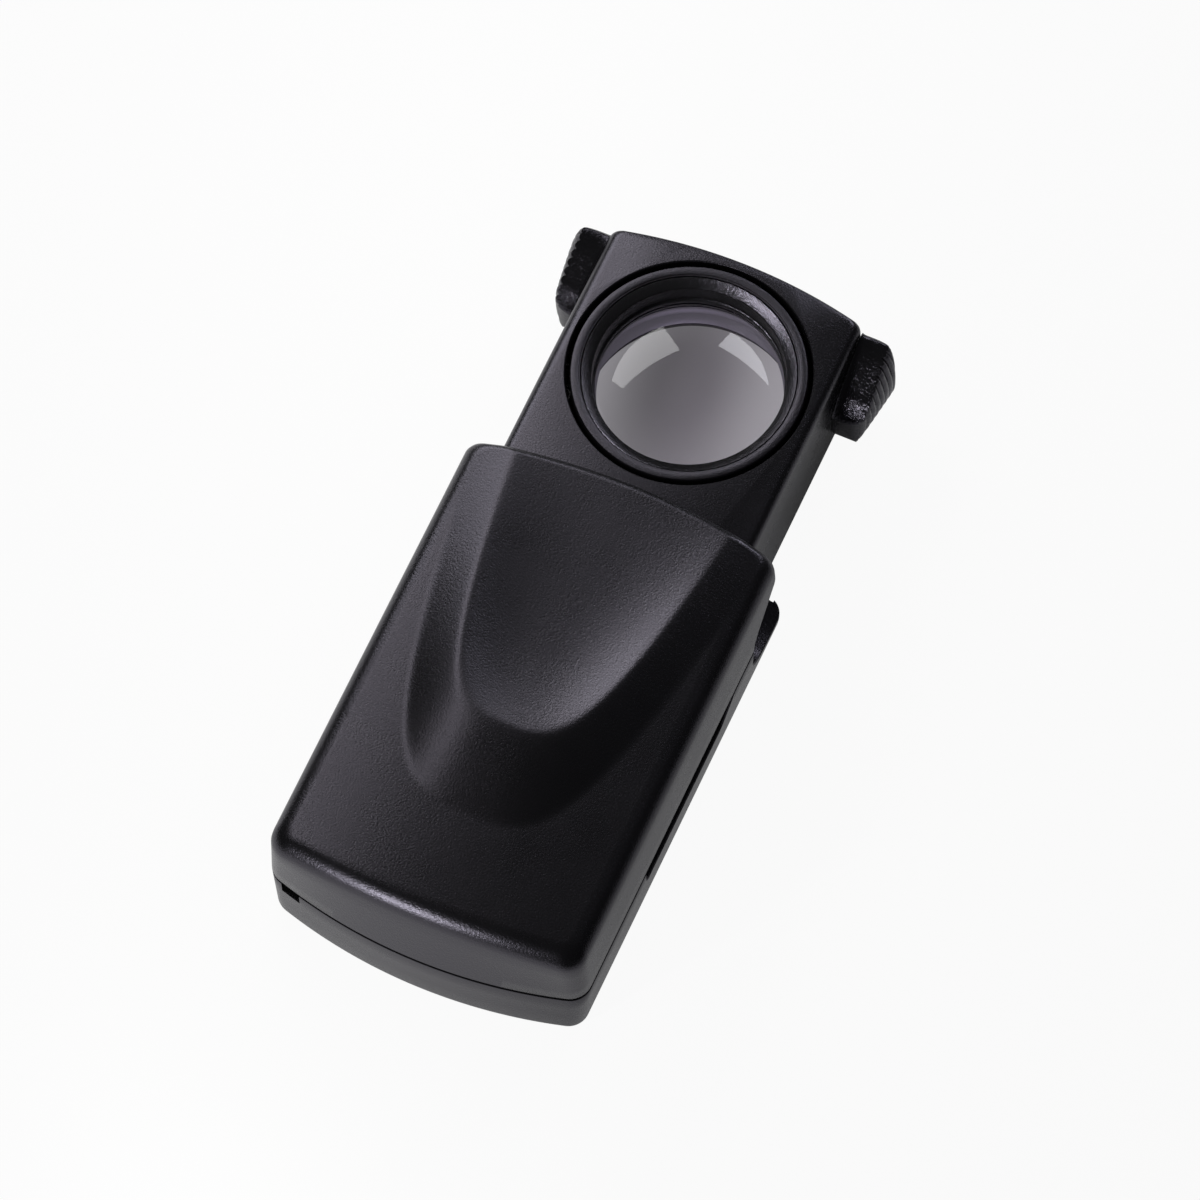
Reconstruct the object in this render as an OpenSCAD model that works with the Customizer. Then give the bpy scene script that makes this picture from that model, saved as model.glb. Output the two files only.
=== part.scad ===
// Pull-out illuminated pocket magnifier. A flat two-piece case has a thumb dish on top, and a
// carriage slides out of its mouth with the lens, two lamps and a stack of button cells.
// Millimetres, +Z up, +Y towards the lens, +X to the right. The origin is the middle of the
// case's flat underside, and the carriage is drawn pulled out.

/* [Lens] */
// Diameter of both lenses
lens_d = 21; // [18:0.5:24]
// Radius of the upper lens's curved face
upper_lens_r = 22; // [20:1:40]
// Radius of the lower lens's curved face
lower_lens_r = 40; // [32:1:60]
// Thickness of a lens at its edge
lens_edge = 1.5; // [1:0.1:1.6]
// Width of the flat land round each lens's curved face
lens_land = 0.5; // [0.4:0.1:0.8]
// Thickness of the ring between the two lenses
spacer_h = 1.8; // [1.6:0.1:2]
// Wall of the lens barrel, measured from the lens's edge
barrel_wall = 2.05; // [1.8:0.05:2.6]
// Depth of the lens's edge below the carriage's top
lens_depth = 3.7; // [3.4:0.1:4.2]
// Gap that shows as a dark groove round the barrel
barrel_gap = 0.5; // [0.3:0.1:0.8]
// Radius of the viewing window in the carriage's base
window_r = 9.5; // [7:0.5:9.5]

/* [Carriage] */
// Travel from pulled out to pushed in
travel = 27; // [20:1:27]
// Thickness of the carriage's side and end walls
carriage_wall = 1.2; // [1:0.1:1.6]
// Thickness of the carriage's top
carriage_top_t = 1.5; // [1.2:0.1:2]
// Thickness of the carriage's base
base_t = 1.2; // [1.2:0.1:1.6]
// Rim between the lens hole and the middle of the bowed front edge
head_rim = 1.2; // [1.2:0.1:3]
// Rounding of the carriage's long upper edges
carriage_top_round = 1.3; // [0.5:0.1:1.4]
// Rounding of the carriage's long lower edges
carriage_low_round = 0.9; // [0.3:0.1:1]

/* [Grips] */
// Length of a grip where it meets the carriage
grip_l = 8.3; // [7:0.1:9]
// How far a grip stands out from the carriage
grip_out = 4.3; // [3.4:0.1:4.6]
// Height of a grip at its front end
grip_front_h = 9.7; // [8:0.1:10]
// Height of a grip at its rear end
grip_rear_h = 6; // [5:0.1:7]
// Height of a grip's underside above the carriage's underside
grip_lift = 2; // [1.5:0.1:2.5]
// Number of ribs on a grip
rib_count = 8; // [4:1:10]
// Depth of the grooves between the ribs
rib_depth = 0.45; // [0.2:0.05:0.6]

/* [Case] */
// Thickness of the case's walls at the joint between the shells
case_wall = 1.6; // [1.4:0.1:2]
// Thickness of the case's floor
floor_t = 1.3; // [1.2:0.1:1.8]
// Thickness of the case's deck over the carriage
deck_t = 1.3; // [1.2:0.1:2]
// Room between the carriage's side and the case's wall, which the rails fill
side_room = 1.9; // [1.6:0.05:2.4]
// Room behind the pushed-in carriage, to the outside of the case
rear_room = 8.8; // [8.6:0.1:12]
// How far the upper shell's mouth is set back from the lower shell's
mouth_setback = 1.7; // [0:0.1:3]
// Height of the joint between the shells
parting_z = 8.1; // [7.6:0.1:9]
// Radius of the bowed ends, in plan
bow_r = 58.5; // [50:0.5:80]
// Radius of the upper shell's bowed mouth, in plan
mouth_bow_r = 66; // [50:1:120]
// Radius of the deck's rear edge, in plan
deck_bow_r = 130; // [60:5:300]
// Radius of the case's rear corners, in plan
corner_r = 2.4; // [1:0.1:4]
// Radius of the upper shell's corners at the mouth, in plan
mouth_corner_r = 1.5; // [1:0.1:3]
// Rounding of the lower shell's bottom edge
low_round = 1.5; // [0.5:0.1:1.5]
// Rounding of the deck's edge
deck_round = 1.4; // [0.5:0.1:2]
// Inward lean of the upper side walls, over their height
side_lean = 0.4; // [0:0.1:0.8]
// Inward lean of the lower side walls, over their height
low_lean = 0.35; // [0:0.05:0.6]
// Forward lean of the upper shell's rear face, over its height
rear_lean = 1.9; // [0:0.1:3]

/* [Thumb dish] */
// Height of the ridge above the deck, behind the dish
ridge_h = 2.2; // [1:0.1:3]
// Height of the ridge above the deck, at the mouth
ridge_front_h = 0.6; // [0.4:0.1:1.5]
// Distance from the mouth back to the ridge's crest
dish_l = 31.5; // [24:0.5:36]
// Half width of the dish at the mouth
dish_half_w = 12.5; // [8:0.1:13]
// Length of the slope behind the crest
ridge_run = 9.4; // [5:0.1:12]
// How square the dish's tongue-shaped plan is
dish_power = 3.5; // [2:0.1:5]

/* [Side cut-outs] */
// Length of the long slot in each side
slot_l = 19.7; // [10:0.1:24]
// Height of the long slot
slot_h = 2.8; // [1.5:0.1:3]
// Distance from the slot's front end to the case's front end
slot_from_front = 18.1; // [16:0.1:24]
// Width of the pry notch at the rear left corner
pry_w = 2.3; // [1.5:0.1:4]
// Height of the pry notch
pry_h = 1; // [0.6:0.1:1.6]

/* [Light and power] */
// Diameter of a button cell
cell_d = 11.6; // [9.5:0.1:12]
// Thickness of a button cell
cell_h = 3.05; // [2.5:0.05:3.6]
// Diameter of a lamp's body
led_d = 3; // [2:0.1:3]
// Length of a lamp's body with its round tip
led_l = 5; // [4:0.1:6]
// Distance of each lamp from the middle plane
led_x = 4; // [3:0.1:5]
// Thickness of the circuit board
board_t = 1; // [0.8:0.1:1.6]
// Thickness of the sprung metal contacts
contact_t = 0.3; // [0.2:0.05:0.4]
// Width of a switch brush
brush_w = 2; // [1.5:0.1:3]

/* [Screws] */
// Radius of a screw's thread in the carriage
small_screw_r = 0.85; // [0.7:0.05:0.9]
// Radius of a screw's thread in the case
case_screw_r = 0.9; // [0.8:0.05:1.1]

/* [Clearances] */
// Between the carriage and the case, above, below and beside it
slide_gap = 0.3; // [0.2:0.05:0.5]
// Between pieces that are fitted together
fit_gap = 0.1; // [0.05:0.05:0.2]
// Round a grip in the case's side notch
notch_gap = 0.7; // [0.5:0.1:1.2]

/* [Hidden] */

// Lens group, outwards from the lens
lens_r = lens_d / 2;
barrel_r = lens_r + barrel_wall;
hole_r = barrel_r + barrel_gap;
aperture_r = lens_r - lens_land;
collar_r = barrel_r - 0.35;
collar_wall = 1.6;

// Carriage across: the lens hole, a little rest beside it, and the walls
hole_rest = 0.2;
inner_w = hole_r + hole_rest;
carriage_w = inner_w + carriage_wall;

// Carriage upwards: base, contact, cells, contact, room for the spring, top
cell_count = 3;
cell_pitch = cell_h + 0.05;
spring_room = 1;
carriage_z = floor_t + slide_gap;
base_z = carriage_z + base_t;
cell_z = base_z + contact_t + 0.05;
stack_top = cell_z + cell_count * cell_pitch;
carriage_h = base_t + 2 * contact_t + cell_count * cell_pitch + spring_room + carriage_top_t;
carriage_z1 = carriage_z + carriage_h;
ceiling_z = carriage_z1 - carriage_top_t;

// Carriage lengthwise, backwards from its bowed front end
board_room = 1.3;
tail_room = 2.3;
led_reach = 0.85;
lamp_room = led_l - led_reach;
carriage_l = head_rim + hole_r + collar_r + lamp_room + board_t + board_room + cell_d
    + tail_room + carriage_wall;
case_l = carriage_l + rear_room;
head_y = case_l / 2 + travel;
lens_y = head_y - head_rim - hole_r;
board_front = lens_y - collar_r - lamp_room;
board_rear = board_front - board_t;
cell_y = board_rear - board_room - cell_d / 2;
tail_y = head_y - carriage_l;

// Case
case_w = carriage_w + side_room + case_wall;
inner_x = carriage_w + side_room;
rail_x = carriage_w + slide_gap;
deck_z = carriage_z1 + slide_gap + deck_t;
roof_z = carriage_z1 + slide_gap;
rear_y = -case_l / 2;
front_y = case_l / 2;
mouth_y = front_y - mouth_setback;
rear_inner = rear_y + case_wall;

// Stops: a lug on each side of the tail meets a block in the lower shell
lug_l = 2;
lug_h = 2;
lug_z = floor_t + 1.3;
lug_gap = 0.25;
stop_y = tail_y + lug_l + fit_gap;
rail_rear = tail_y - travel - 2.3;
rail_low_h = 1;
tongue_z = lug_z + lug_h + 0.6;

// Grips
grip_y1 = head_y - 1.7;
grip_y0 = grip_y1 - grip_l;
grip_z = carriage_z + grip_lift;
grip_taper = 0.75;
rib_margin = 1.2;
peg_r = 1.2;
peg_ys = [grip_y0 + 2, grip_y1 - 2.1];
peg_z = grip_z + 3.2;

// Side notch of the case, which takes the pushed-in grips
notch_y0 = grip_y0 - travel - 1.4 * notch_gap;
notch_y1 = mouth_y - 2.6;
notch_low = grip_z - 2 * notch_gap;

// Screws
boss_r = 2.1;
small_head_r = 1.7;
small_head_h = 0.6;
boss_x = inner_w - small_head_r - 3 * fit_gap;
boss_tail_y = tail_y + carriage_wall + small_head_r + 0.2;
boss_head_y = head_y - carriage_wall - small_head_r - 1.4;
boss_places = [for (sx = [-1, 1], y = [boss_tail_y, boss_head_y]) [sx * boss_x, y]];
thread_l = 6;
case_boss_r = 2.5;
case_head_r = 1.8;
case_head_h = 0.9;
case_pillar_h = 1.8;
case_boss_x = inner_x - 4.2;
case_boss_y = rear_inner + case_boss_r + 1.4;
case_post_r = 2.1;
case_thread_l = 8;

// Contacts and switch
strip_t = 0.2;
brush_x = cell_d / 2 + 3.7;
brush_y = cell_y - 2.4;
brush_l = 6;
brush_slot = 1.2;
lead_r = 0.45;
led_z = base_z + led_d / 2;
led_flange_r = led_d / 2 + 0.4;
led_flange_h = 1;
board_half_w = inner_w - 2.2;
ring_lip = 0.8;
tiny = 0.01;

// Plan outline with bowed ends: the side walls at x = +-w, the bows' middles at y0 and y1,
// and round corners that meet both the side and the bow.
module bowed_plan(w, y0, y1, corner0, corner1, bow0 = bow_r, bow1 = bow_r) {
    difference() {
        intersection() {
            translate([-w, y0]) square([2 * w, y1 - y0]);
            translate([0, y0 + bow0]) circle(r = bow0, $fn = 240);
            translate([0, y1 - bow1]) circle(r = bow1, $fn = 240);
        }
        for (sx = [-1, 1]) {
            translate([0, y0 + bow0]) scale([sx, -1]) corner_cut(w, corner0, bow0);
            translate([0, y1 - bow1]) scale([sx, 1]) corner_cut(w, corner1, bow1);
        }
    }
}

// What a round corner takes off a sharp one, measured from the middle of the bow's circle. The
// ends of its arc stand a hair outside the bow and the side, so that they cross both cleanly.
module corner_cut(w, r, bow) {
    steps = 6;
    hair = 0.002;
    x = w - r;
    y = sqrt(pow(bow - r, 2) - x * x);
    lean = asin(x / (bow - r));
    far = 3 * r;
    reach = [for (i = [0 : steps]) i % steps == 0 ? r + hair : r];
    turn = [for (i = [0 : steps]) (90 - lean) * i / steps];
    arc = [for (i = [0 : steps]) [x + reach[i] * cos(turn[i]), y + reach[i] * sin(turn[i])]];
    polygon(concat([[x + far, y]], arc, [[x + far * sin(lean), y + far * cos(lean)],
        [x + far, y + far]]));
}

// Front view of the carriage: a block with round upper and lower long edges
module carriage_section() {
    top = carriage_top_round;
    low = carriage_low_round;
    translate([-carriage_w, carriage_z + low])
        square([2 * carriage_w, carriage_h - top - low]);
    translate([-carriage_w + top, carriage_z + low])
        square([2 * (carriage_w - top), carriage_h - low]);
    translate([-carriage_w + low, carriage_z])
        square([2 * (carriage_w - low), carriage_h - top]);
    for (sx = [-1, 1]) {
        translate([sx * (carriage_w - top), carriage_z1 - top]) circle(r = top, $fn = 48);
        translate([sx * (carriage_w - low), carriage_z + low]) circle(r = low, $fn = 48);
    }
}

module slab(z0, z1) {
    translate([0, 0, z0]) linear_extrude(z1 - z0) children();
}

// Extrudes a front view, drawn in X and Z, from y0 to y1
module along_y(y0, y1) {
    translate([0, y1, 0]) rotate([90, 0, 0]) linear_extrude(y1 - y0) children();
}

// Extrudes a side view, drawn in Y and Z, from x0 to x1
module along_x(x0, x1) {
    translate([x0, 0, 0]) rotate([90, 0, 90]) linear_extrude(x1 - x0) children();
}

module box(x0, x1, y0, y1, z0, z1) {
    translate([x0, y0, z0]) cube([x1 - x0, y1 - y0, z1 - z0]);
}

module both_sides() {
    children();
    mirror([1, 0, 0]) children();
}

// Side view of the space for the grips, shared by both shells. Its upper edge follows the
// grip's sloping top, and it opens at the mouth.
module notch_side() {
    low_rear = grip_z + grip_rear_h;
    slope = (grip_front_h - grip_rear_h) / (grip_l - 1.1);
    top_mid = low_rear + slope * (notch_y1 - notch_y0) + 0.6;
    far = front_y + 5;
    polygon([[notch_y0, notch_low + 2.2], [notch_y0, low_rear - 1.2],
        [notch_y0 + 0.5, low_rear - 0.1], [notch_y0 + 1.5, low_rear + 0.7],
        [notch_y1, top_mid], [notch_y1 + 0.9, top_mid + 1.2], [notch_y1 + 1.2, top_mid + 2],
        [far, top_mid + 2], [far, notch_low], [notch_y0 + 5, notch_low],
        [notch_y0 + 2, notch_low + 0.4], [notch_y0 + 0.6, notch_low + 1.2]]);
}

// Outside of the upper shell: leaning walls and a rounded deck edge. The rear face is bowed at
// the joint and straightens towards the deck.
module upper_outside() {
    h = deck_z - parting_z;
    steps = 4;
    hull() {
        slab(parting_z, parting_z + tiny)
            bowed_plan(case_w, rear_y + 0.2, mouth_y, corner_r, mouth_corner_r, bow_r, mouth_bow_r);
        for (i = [0 : steps]) {
            a = 90 * i / steps;
            z = deck_z - deck_round * (1 - sin(a));
            inset = deck_round * (1 - cos(a));
            lean = (z - parting_z) / h;
            slab(z - tiny, z) bowed_plan(case_w - side_lean * lean - inset,
                rear_y + 0.2 + rear_lean * lean + inset, mouth_y - inset / 3, corner_r - inset / 2,
                mouth_corner_r, deck_bow_r, mouth_bow_r);
        }
    }
}

// Raised ridge round the dish: it slopes from its crest out to the deck, and the crest falls
// towards the mouth.
module ridge() {
    intersection() {
        hull() {
            slab(deck_z - 0.15, deck_z - 0.14) tongue_plan(case_w - side_lean - 0.8,
                dish_l + ridge_run);
            on_crest(0) tongue_plan(dish_half_w + 0.4, dish_l + 0.3);
        }
        slab(parting_z, deck_z + 2 * ridge_h) bowed_plan(case_w, rear_y, mouth_y - 0.4,
            corner_r, mouth_corner_r, bow_r, mouth_bow_r);
    }
}

// The hollow of the thumb dish: tongue-shaped levels, from the sloping crest down to a level
// floor just above the deck
module dish_hollow() {
    hull() {
        on_crest(0, ridge_h) tongue_plan(dish_half_w, dish_l);
        on_crest(0) tongue_plan(dish_half_w, dish_l);
        on_crest(0.5) tongue_plan(dish_half_w * 0.74, dish_l - 1.6);
        on_crest(0.85) tongue_plan(dish_half_w * 0.45, dish_l - 4);
        on_crest(1) tongue_plan(dish_half_w * 0.18, dish_l - 7);
    }
}

// Lays a thin plan on the crest's slope when sunk is 0, on the dish's floor when it is 1
module on_crest(sunk, lift = 0) {
    floor_h = 0.05;
    rear_h = ridge_h * (1 - sunk) + floor_h * sunk;
    drop = atan((ridge_h - ridge_front_h) * (1 - sunk) / dish_l);
    translate([0, mouth_y - dish_l, deck_z + rear_h + lift]) rotate([-drop, 0, 0])
        translate([0, dish_l - mouth_y, 0]) linear_extrude(tiny) children();
}

// Tongue-shaped plan: half width w at the mouth, and a round end that lies length l behind it
module tongue_plan(w, l) {
    n = 14;
    side = [for (i = [n : -1 : 0]) pow(i / n, 0.7)];
    right = [for (f = side) [w * f, mouth_y - l + l * pow(f, dish_power)]];
    left = [for (i = [n - 1 : -1 : 0]) [-right[i][0], right[i][1]]];
    polygon(concat([[w, mouth_y + 1]], right, left, [[-w, mouth_y + 1]]));
}

module upper_shell() {
    color([0.04, 0.04, 0.045]) difference() {
        union() {
            difference() {
                union() {
                    upper_outside();
                    ridge();
                }
                dish_hollow();
                slab(parting_z - 1, roof_z)
                    bowed_plan(inner_x, rear_inner + rear_lean * 0.8, mouth_y + 5, corner_r, corner_r);
            }
            both_sides() {
                box(rail_x, inner_x + 0.4, stop_y, mouth_y - 2, parting_z + fit_gap, roof_z + 0.3);
                box(rail_x, inner_x + 0.4, rail_rear, stop_y, parting_z, roof_z + 0.3);
                box(rail_x, inner_x - 2 * fit_gap, rail_rear, stop_y - fit_gap, tongue_z, parting_z);
                translate([case_boss_x, case_boss_y, floor_t + case_pillar_h + fit_gap])
                    cylinder(r = case_post_r, h = roof_z + 0.3 - floor_t - case_pillar_h - fit_gap,
                        $fn = 48);
            }
        }
        both_sides() {
            along_x(carriage_w, case_w + 5) notch_side();
            translate([case_boss_x, case_boss_y, 0])
                cylinder(r = case_screw_r + fit_gap / 2, h = floor_t + case_pillar_h
                    + case_thread_l + 1, $fn = 32);
        }
    }
}

// Outside of the lower shell: rounded bottom edge and walls that lean out to the joint
module lower_outside() {
    steps = 4;
    hull() {
        slab(parting_z - tiny, parting_z)
            bowed_plan(case_w, rear_y + 0.2, front_y, corner_r, corner_r);
        for (i = [0 : steps]) {
            a = 90 * i / steps;
            z = low_round * (1 - sin(a));
            inset = low_round * (1 - cos(a)) + low_lean;
            slab(z, z + tiny) bowed_plan(case_w - inset,
                rear_y + inset - low_lean, front_y - inset + low_lean, corner_r - inset / 2,
                corner_r - inset / 2);
        }
    }
}

module lower_shell() {
    slot_y1 = front_y - slot_from_front;
    slot_y0 = slot_y1 - slot_l;
    slot_z = parting_z - slot_h;
    color([0.045, 0.045, 0.05]) difference() {
        union() {
            difference() {
                lower_outside();
                slab(floor_t, parting_z + 1)
                    bowed_plan(inner_x, rear_inner, front_y + 5, corner_r - 1, corner_r - 1);
            }
            both_sides() {
                box(rail_x, inner_x + 0.3, rail_rear, stop_y, floor_t - 0.2, floor_t + rail_low_h);
                box(rail_x, inner_x + 0.3, stop_y, notch_y0, floor_t - 0.2, parting_z);
                box(rail_x, inner_x + 0.3, notch_y0, front_y - 4.5, floor_t - 0.2, notch_low + tiny);
                translate([case_boss_x, case_boss_y, floor_t - 0.2])
                    cylinder(r = case_boss_r, h = case_pillar_h + 0.2, $fn = 48);
            }
        }
        both_sides() {
            along_x(carriage_w, case_w + 5) notch_side();
            along_x(inner_x - tiny, case_w + 5) polygon([[slot_y0, slot_z], [slot_y0 - 0.4, slot_z + 0.6],
                [slot_y0 - 0.4, parting_z + 1], [slot_y1 + 2.5, parting_z + 1],
                [slot_y1 + 2.5, parting_z], [slot_y1 - 1.2, slot_z]]);
            translate([case_boss_x, case_boss_y, -1]) cylinder(r = case_screw_r + 0.15, h = 10, $fn = 32);
            translate([case_boss_x, case_boss_y, -1])
                cylinder(r = case_head_r + fit_gap, h = 1.3 + case_head_h, $fn = 48);
        }
        box(-case_w + 1.9, -case_w + 1.9 + pry_w, rear_y - 1, rear_y + 3.6, parting_z - pry_h,
            parting_z + 1);
        box(-brush_x - brush_w, brush_x + brush_w, brush_y - 1.5, brush_y + 1.5,
            floor_t - strip_t, floor_t + tiny);
    }
}

module case_screws() {
    z = 0.25;
    color([0.55, 0.56, 0.58]) both_sides() translate([case_boss_x, case_boss_y, z]) difference() {
        union() {
            cylinder(r = case_head_r, h = case_head_h, $fn = 48);
            cylinder(r = case_screw_r, h = case_head_h + case_pillar_h + case_thread_l, $fn = 32);
        }
        cross_recess(case_head_r * 0.62, 0.5);
    }
}

// Cross-shaped drive recess, cut upwards from a screw head's face
module cross_recess(half, depth) {
    for (a = [0, 90]) rotate(a) box(-half, half, -half / 4, half / 4, -1, depth);
}

// Metal strip in the case's floor that the brushes meet when the carriage is out
module bridge_strip() {
    color([0.78, 0.62, 0.32]) box(-brush_x - brush_w + fit_gap, brush_x + brush_w - fit_gap,
        brush_y - 1.5 + fit_gap, brush_y + 1.5 - fit_gap, floor_t - strip_t, floor_t);
}

module carriage_top() {
    color([0.05, 0.05, 0.055]) difference() {
        union() {
            intersection() {
                slab(carriage_z, carriage_z1) bowed_tail_plan(carriage_w, tail_y, head_y, 1);
                along_y(tail_y - 1, head_y + 1) carriage_section();
            }
            both_sides() box(carriage_w - carriage_wall / 2, inner_x - lug_gap, tail_y,
                tail_y + lug_l, lug_z, lug_z + lug_h);
        }
        difference() {
            slab(carriage_z - 1, ceiling_z)
                bowed_tail_plan(inner_w, tail_y + carriage_wall, head_y - carriage_wall, 0.6);
            for (p = boss_places) translate([p[0], p[1], base_z + fit_gap])
                cylinder(r = boss_r, h = carriage_h, $fn = 48);
        }
        translate([0, lens_y, 0]) cylinder(r = hole_r, h = carriage_z1 + 1, $fn = 96);
        for (p = boss_places) translate([p[0], p[1], 0])
            cylinder(r = small_screw_r + fit_gap / 2, h = base_z + thread_l + 1, $fn = 32);
        both_sides() for (y = peg_ys) translate([inner_w - fit_gap, y, peg_z]) rotate([0, 90, 0])
            cylinder(r = peg_r + fit_gap / 2, h = carriage_wall + 1, $fn = 32);
    }
}

// Plan of the carriage: straight tail and bowed head
module bowed_tail_plan(w, y0, y1, corner) {
    intersection() {
        bowed_plan(w, y0 - bow_r / 2, y1, corner, corner);
        translate([-w, y0]) square([2 * w, y1 - y0 + 1]);
    }
}

module carriage_base() {
    cradle_r = cell_d / 2 + 0.25;
    color([0.06, 0.06, 0.065]) difference() {
        union() {
            slab(carriage_z, base_z) bowed_tail_plan(inner_w - fit_gap,
                tail_y + carriage_wall + fit_gap, head_y - carriage_wall - fit_gap, 0.5);
            translate([0, lens_y, base_z - 0.1]) ring(collar_r - collar_wall, collar_r,
                barrel_z0() - base_z + 0.1);
            intersection() {
                translate([0, cell_y, base_z - 0.1]) ring(cradle_r, cradle_r + 1,
                    cell_count * cell_pitch * 0.8);
                both_sides() box(cell_d * 0.28, cell_d, cell_y - cell_d, cell_y + cell_d, 0, deck_z);
            }
        }
        translate([0, lens_y, 0]) cylinder(r = window_r, h = deck_z, $fn = 96);
        box(-led_x - led_d, led_x + led_d, board_front, lens_y - window_r * 0.7, base_z, deck_z);
        for (sx = [-1, 1]) {
            box(sx * led_x - led_flange_r - fit_gap, sx * led_x + led_flange_r + fit_gap,
                board_front, board_front + led_flange_h + fit_gap, base_z - 0.5, deck_z);
            box(sx * brush_x - brush_w / 2 - fit_gap, sx * brush_x + brush_w / 2 + fit_gap,
                brush_y - brush_slot / 2, brush_y + brush_slot / 2, 0, base_z + 1);
        }
        for (p = boss_places) translate([p[0], p[1], 0]) {
            cylinder(r = small_screw_r + 0.15, h = deck_z, $fn = 32);
            cylinder(r = small_head_r + fit_gap, h = carriage_z + small_head_h + fit_gap, $fn = 48);
        }
    }
}

module ring(r0, r1, h) {
    rotate_extrude($fn = 96) translate([r0, 0]) square([r1 - r0, h]);
}

module carriage_screws() {
    color([0.55, 0.56, 0.58]) for (p = boss_places) translate([p[0], p[1], carriage_z + 0.05])
        difference() {
            union() {
                cylinder(r = small_head_r, h = small_head_h, $fn = 48);
                cylinder(r = small_screw_r, h = base_t + thread_l, $fn = 32);
            }
            cross_recess(small_head_r * 0.62, 0.35);
        }
}

// Right-hand grip: its plan, side view and bulging front view are cut from one block, then
// ribbed. Two pegs hold it in the carriage's wall.
module grip_body() {
    x0 = carriage_w;
    x1 = carriage_w + grip_out;
    z1 = grip_z + grip_front_h;
    rear_x = x1 - grip_taper;
    rib_pitch = (grip_l - rib_margin) / rib_count;
    bulge = [[0, 0.79], [0.08, 0.86], [0.23, 0.95], [0.38, 0.99], [0.5, 1], [0.66, 0.94],
        [0.81, 0.84], [0.9, 0.75], [1, 0.56]];
    outer = [for (b = bulge) [grip_out * b[1], grip_z + grip_front_h * b[0]]];
    lean = atan(grip_taper / (grip_l - 3.3));
    difference() {
        intersection() {
            slab(grip_z, z1) polygon([[x0, grip_y0 + 0.1], [x0 + 1.8, grip_y0],
                [rear_x - 0.5, grip_y0 + 0.1], [rear_x, grip_y0 + 0.4], [rear_x + 0.1, grip_y0 + 1],
                [x1, grip_y1 - 3], [x1 - 0.15, grip_y1 - 2.2], [x1 - 0.5, grip_y1 - 1.5],
                [x1 - 1.2, grip_y1 - 0.9], [x1 - 2.3, grip_y1 - 0.4], [x0, grip_y1]]);
            along_x(x0, x1) polygon([[grip_y0 + 0.3, grip_z], [grip_y0 + 0.05, grip_z + 1.2],
                [grip_y0, grip_z + 3], [grip_y0, grip_z + grip_rear_h - 0.7],
                [grip_y0 + 0.3, grip_z + grip_rear_h - 0.2], [grip_y0 + 0.8, grip_z + grip_rear_h + 0.1],
                [grip_y1 - 3, z1 - 0.7], [grip_y1 - 1.8, z1 - 0.1], [grip_y1 - 1, z1],
                [grip_y1 - 0.2, z1 - 0.2], [grip_y1, z1 - 1], [grip_y1, grip_z]]);
            translate([x0, grip_y1 - 2.6, 0]) rotate([0, 0, -lean]) along_y(-grip_l, 4)
                polygon(concat([[-2, grip_z]], outer, [[-2, z1]]));
        }
        for (i = [0 : rib_count - 1])
            rib_groove(grip_y0 + rib_margin * 0.6 + rib_pitch * (i + 0.5), rib_pitch,
                grip_taper * (1 - i / (rib_count - 1)), outer);
    }
    for (y = peg_ys) translate([x0 - carriage_wall, y, peg_z]) rotate([0, 90, 0])
        cylinder(r = peg_r, h = carriage_wall + 0.5, $fn = 32);
}

// Groove between two ribs, which follows the grip's bulging outer face
module rib_groove(y, pitch, inset, outer) {
    inner_x = carriage_w + grip_out * 0.5;
    outer_x = carriage_w + grip_out + 1;
    face = [for (p = outer) [carriage_w + p[0] - inset - rib_depth, p[1]]];
    n = len(outer) - 1;
    rear = [for (i = [n : -1 : 0]) [outer_x, outer[i][1]]];
    intersection() {
        along_y(y - pitch, y + pitch) polygon(concat([[face[0][0], face[0][1] - 1]], face,
            [[face[n][0], face[n][1] + 1]], rear));
        slab(grip_z - 1, grip_z + grip_front_h + 1) polygon([[inner_x, y - 0.05],
            [outer_x, y - pitch * 0.45], [outer_x, y + pitch * 0.45], [inner_x, y + 0.05]]);
    }
}

module grip_right() {
    color([0.03, 0.03, 0.035]) translate([fit_gap / 2, 0, 0]) grip_body();
}

module grip_left() {
    color([0.03, 0.03, 0.035]) mirror([1, 0, 0]) translate([fit_gap / 2, 0, 0]) grip_body();
}

// Heights of the lens group, downwards from the carriage's top
function barrel_top() = carriage_z1 - 0.1;
function upper_edge_z() = carriage_z1 - lens_depth - lens_edge;
function lower_edge_z() = upper_edge_z() - spacer_h - lens_edge;
function barrel_z0() = lower_edge_z() - 1;

module lens_barrel() {
    top = barrel_top();
    seat = lower_edge_z();
    bore = lens_r + fit_gap;
    mouth = barrel_r - 1.1;
    shelf = carriage_z1 - lens_depth + ring_lip;
    color([0.06, 0.06, 0.065]) translate([0, lens_y, 0]) rotate_extrude($fn = 96)
        polygon([[aperture_r, barrel_z0()], [barrel_r - 0.3, barrel_z0()],
            [barrel_r, barrel_z0() + 0.3], [barrel_r, top - 0.25], [barrel_r - 0.25, top],
            [barrel_r - 0.6, top], [barrel_r - 0.65, top - 0.15], [mouth, top - 0.15],
            [mouth, shelf], [bore, shelf - 0.4], [bore, seat], [aperture_r, seat]]);
}

// Ring that is pressed in over the upper lens, with a sloping inside
module retaining_ring() {
    outer = barrel_r - 1.1 - fit_gap / 2;
    low = carriage_z1 - lens_depth + 0.02;
    shelf = low + ring_lip + 0.03;
    top = barrel_top() - 0.2;
    color([0.055, 0.055, 0.06]) translate([0, lens_y, 0]) rotate_extrude($fn = 96)
        polygon([[aperture_r, low], [lens_r, low], [lens_r, shelf - 0.35], [outer, shelf],
            [outer, top], [outer - 0.3, top], [aperture_r + 0.25, low + 0.45], [aperture_r, low + 0.4]]);
}

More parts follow.
